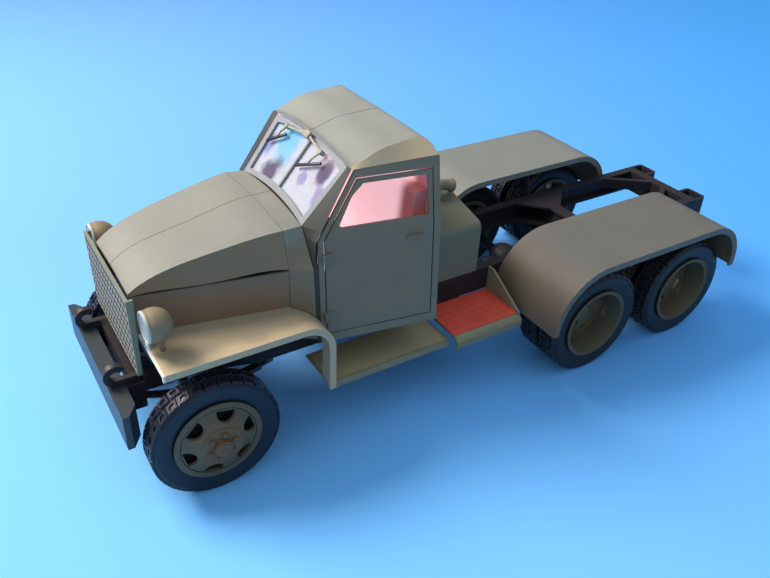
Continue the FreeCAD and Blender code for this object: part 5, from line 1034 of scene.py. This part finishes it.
def paint_steps_and_tank():
    paint("running_boards", card("board_card", BOARD_OLIVE, BROWN_SPRAY,
                                 box_of("running_boards"), 1.5))
    paint("step_boxes", card("step_card", STEP_OLIVE, BROWN_SPRAY, box_of("step_boxes"), 1.5))
    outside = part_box("step_planks")[1].y
    grooves = [("Y", sign * (outside - step * PLANK_PITCH), 0.06, PLANK_GROOVE)
               for step in (1, 2, 3, 4) for sign in (1, -1)]
    paint("step_planks", card("plank_card", PLANK_RED, PLANK_SHADE, box_of("step_planks"), 1.5,
                              lines=grooves, mottle=0.5))
    # The rear fenders fade across the truck from lit to shaded: painted light and shade
    paint("rear_fenders", card("rear_fender_card", REAR_FENDER_LIT, REAR_FENDER_SPRAY,
                               box_of("rear_fenders", (0, 900, 900)), 15.0,
                               tint=("Y", -10 * MM, 10 * MM, REAR_FENDER_SHADED)))
    paint("fuel_tank", card("tank_card", TANK_OLIVE, OLIVE_DEEP, box_of("fuel_tank"), 4.0))


def paint_frame(node, dark, edge, gloss):
    paint(node, card(node + "_card", dark, edge, box_of(node), 2.5, rough=0.42, gloss=gloss))


def paint_chassis():
    for node in ("frame_rails", "cross_members", "rear_cross_member", "pintle_hook"):
        paint_frame(node, FRAME_DARK, FRAME_EDGE, 0.14)
    paint_frame("tow_hooks", FRAME_DARK, FRAME_EDGE, 0.45)
    # The bumper's blue tint is a painted reflection of the blue floor
    paint_frame("front_bumper", BUMPER_BLUE_REFLECTION, BUMPER_EDGE_BLUE_REFLECTION, 0.45)
    for node in ("front_axle", "rear_axles", "trunnion", "prop_shafts", "engine", "gearbox",
                 "transfer_case", "fender_brackets", "knuckle_left", "knuckle_right",
                 "tie_rod"):
        paint(node, card(node + "_card", NEAR_BLACK, CHASSIS_BROWN, box_of(node), 1.0, rough=0.5,
                         gloss=0.2))
    leaves = [("Z", z * MM, 0.08, LEAF_EDGE) for z in LEAF_HEIGHTS]
    for node in ("front_springs", "rear_springs"):
        paint(node, card(node + "_leaf_card", NEAR_BLACK, CHASSIS_BROWN, box_of(node), 2.0,
                         lines=leaves, rough=0.5))


def make_wheels():
    soot = card("drum_card", NEAR_BLACK, rough=0.6)
    make_front_wheel(round_card("front_rim_card", RIM_BROWN, RIM_GREY, FRONT_AXLE, 5.0, 4.5),
                     soot)
    make_rear_wheels({number: round_card("rear_rim_card_%d" % number, RIM_DEEP, RIM_GREY, axle,
                                         11.2, 0.5)
                      for number, axle in REAR_AXLES.items()})


# Camera, floor and light

CAMERA_PLACE = Vector((0.14119, 0.18349, 0.17037))
CAMERA_AZIMUTH = 236.937
CAMERA_ELEVATION = -33.8
CAMERA_ROLL = 2.512
CAMERA_LENS = 36.24

# Shares of X and Y that run to the picture's left and towards the camera
VIEW_LONG = 0.84
VIEW_SHORT = 0.55
# Floor colours are painted light: warmer towards the window light on the picture's left and
# lighter towards the camera
FLOOR_RIGHT = (0.085, 0.44, 0.98)
FLOOR_LEFT_LIT = (0.165, 0.39, 0.88)
FLOOR_NEAR_LIT = (0.185, 0.51, 0.95)
WINDOW_PLACE = (0.40, -0.33, 0.52)
WINDOW_AIM = (0, 0, 0.03)
WINDOW_SIZE = 0.36
WINDOW_POWER = 7.2
WINDOW_LIGHT = (1.0, 0.93, 0.84)
OVERHEAD_STRENGTH = 0.95
OVERHEAD_SPREAD = 100
OVERHEAD_LIGHT = (0.62, 0.86, 1.0)
FILL_STRENGTH = 0.42
FILL_LIGHT = (0.62, 0.82, 1.0, 1)
BACKDROP = (0.07, 0.22, 0.60, 1)


def make_camera():
    azimuth = math.radians(CAMERA_AZIMUTH)
    elevation = math.radians(CAMERA_ELEVATION)
    roll = math.radians(CAMERA_ROLL)
    look = Vector((math.cos(elevation) * math.cos(azimuth),
                   math.cos(elevation) * math.sin(azimuth), math.sin(elevation)))
    level = look.cross(Vector((0, 0, 1))).normalized()
    above = level.cross(look)
    right = level * math.cos(roll) + above * math.sin(roll)
    up = above * math.cos(roll) - level * math.sin(roll)
    camera = bpy.data.objects.new("camera", bpy.data.cameras.new("camera"))
    camera.data.lens = CAMERA_LENS
    camera.data.sensor_width = 36
    camera.data.sensor_fit = "HORIZONTAL"
    camera.data.clip_start = 0.01
    camera.matrix_world = Matrix.Translation(CAMERA_PLACE) @ Matrix(
        (right, up, -look)).transposed().to_4x4()
    bpy.context.collection.objects.link(camera)
    bpy.context.scene.camera = camera


def make_floor():
    deselect()
    bpy.ops.mesh.primitive_plane_add(size=6, location=(0, 0, 0))
    floor = bpy.context.object
    floor.name = "floor"
    material = bpy.data.materials.new("pale_floor")
    material.use_nodes = True
    board = Board(material.node_tree)
    finish = material.node_tree.nodes["Principled BSDF"]
    coordinates, split = board.place()
    across = board.math("SUBTRACT", board.math("MULTIPLY", split["X"], VIEW_LONG),
                        board.math("MULTIPLY", split["Y"], VIEW_SHORT))
    paper = board.math("MULTIPLY", board.math("SUBTRACT", board.noise(coordinates, 700, 3), 0.5),
                       0.06)
    leftward = board.math("ADD", board.ramp(across, -0.34, 0.22), paper)
    nearer = board.math("ADD", board.math("MULTIPLY", split["X"], VIEW_SHORT),
                        board.math("MULTIPLY", split["Y"], VIEW_LONG))
    # Painted light: the floor warms towards the window light and lightens towards the camera
    shade = board.mix(leftward, FLOOR_RIGHT, FLOOR_LEFT_LIT)
    board.feed(finish.inputs["Base Color"],
               board.mix(board.ramp(nearer, -0.06, 0.12), shade, FLOOR_NEAR_LIT))
    finish.inputs["Roughness"].default_value = 0.9
    floor.data.materials.append(material)


def area_light(name, place, aim, size, power, colour):
    lamp = bpy.data.objects.new(name, bpy.data.lights.new(name, "AREA"))
    lamp.data.shape = "DISK"
    lamp.data.size = size
    lamp.data.energy = power
    lamp.data.color = colour
    lamp.location = place
    lamp.rotation_euler = (Vector(aim) - Vector(place)).to_track_quat("-Z", "Y").to_euler()
    bpy.context.collection.objects.link(lamp)


def make_light():
    """A window light on the picture's left, a wide soft overhead light, a faint blue fill
    and the blue backdrop that only the camera sees."""
    area_light("window", WINDOW_PLACE, WINDOW_AIM, WINDOW_SIZE, WINDOW_POWER, WINDOW_LIGHT)
    overhead = bpy.data.objects.new("overhead", bpy.data.lights.new("overhead", "SUN"))
    overhead.data.energy = OVERHEAD_STRENGTH
    overhead.data.angle = math.radians(OVERHEAD_SPREAD)
    overhead.data.color = OVERHEAD_LIGHT
    overhead.rotation_euler = (math.radians(-12), math.radians(14), 0)
    bpy.context.collection.objects.link(overhead)
    world = bpy.data.worlds.new("studio")
    world.use_nodes = True
    board = Board(world.node_tree)
    fill = world.node_tree.nodes["Background"]
    fill.inputs[0].default_value = FILL_LIGHT
    fill.inputs[1].default_value = FILL_STRENGTH
    seen = board.add("ShaderNodeBackground")
    seen.inputs[0].default_value = BACKDROP
    choice = board.add("ShaderNodeMixShader")
    board.feed(choice.inputs[0], board.add("ShaderNodeLightPath").outputs["Is Camera Ray"])
    board.feed(choice.inputs[1], fill.outputs[0])
    board.feed(choice.inputs[2], seen.outputs[0])
    board.feed(world.node_tree.nodes["World Output"].inputs[0], choice.outputs[0])
    bpy.context.scene.world = world
    bpy.context.scene.view_settings.view_transform = "Standard"


def main():
    make_camera()
    make_floor()
    make_light()
    paint_bonnet()
    paint_cab()
    paint_steps_and_tank()
    paint_chassis()
    make_wheels()
    make_all_tyres()
    make_guard(card("guard_card", LATTICE_GREY, OLIVE_SIDE, box_of("brush_guard"), 1.2,
                    sheet=(1, 0, 0), edge=LATTICE_EDGE))
    make_filler(card("filler_card", FILLER_BROWN, BROWN_SPRAY, box_of("tank_filler"), 2.0))
    make_wipers(card("blade_card", NEAR_BLACK, rough=0.45),
                card("linkage_card", LINKAGE_OLIVE, mottle=0.2))
    pale_rim = card("lamp_rim_card", LAMP_RIM_PALE)
    glass = clear_film("small_lamp_glass", SMALL_LAMP_GLASS, 0.6)
    for side in SIDES:
        make_lamps(side, pale_rim, glass)


main()
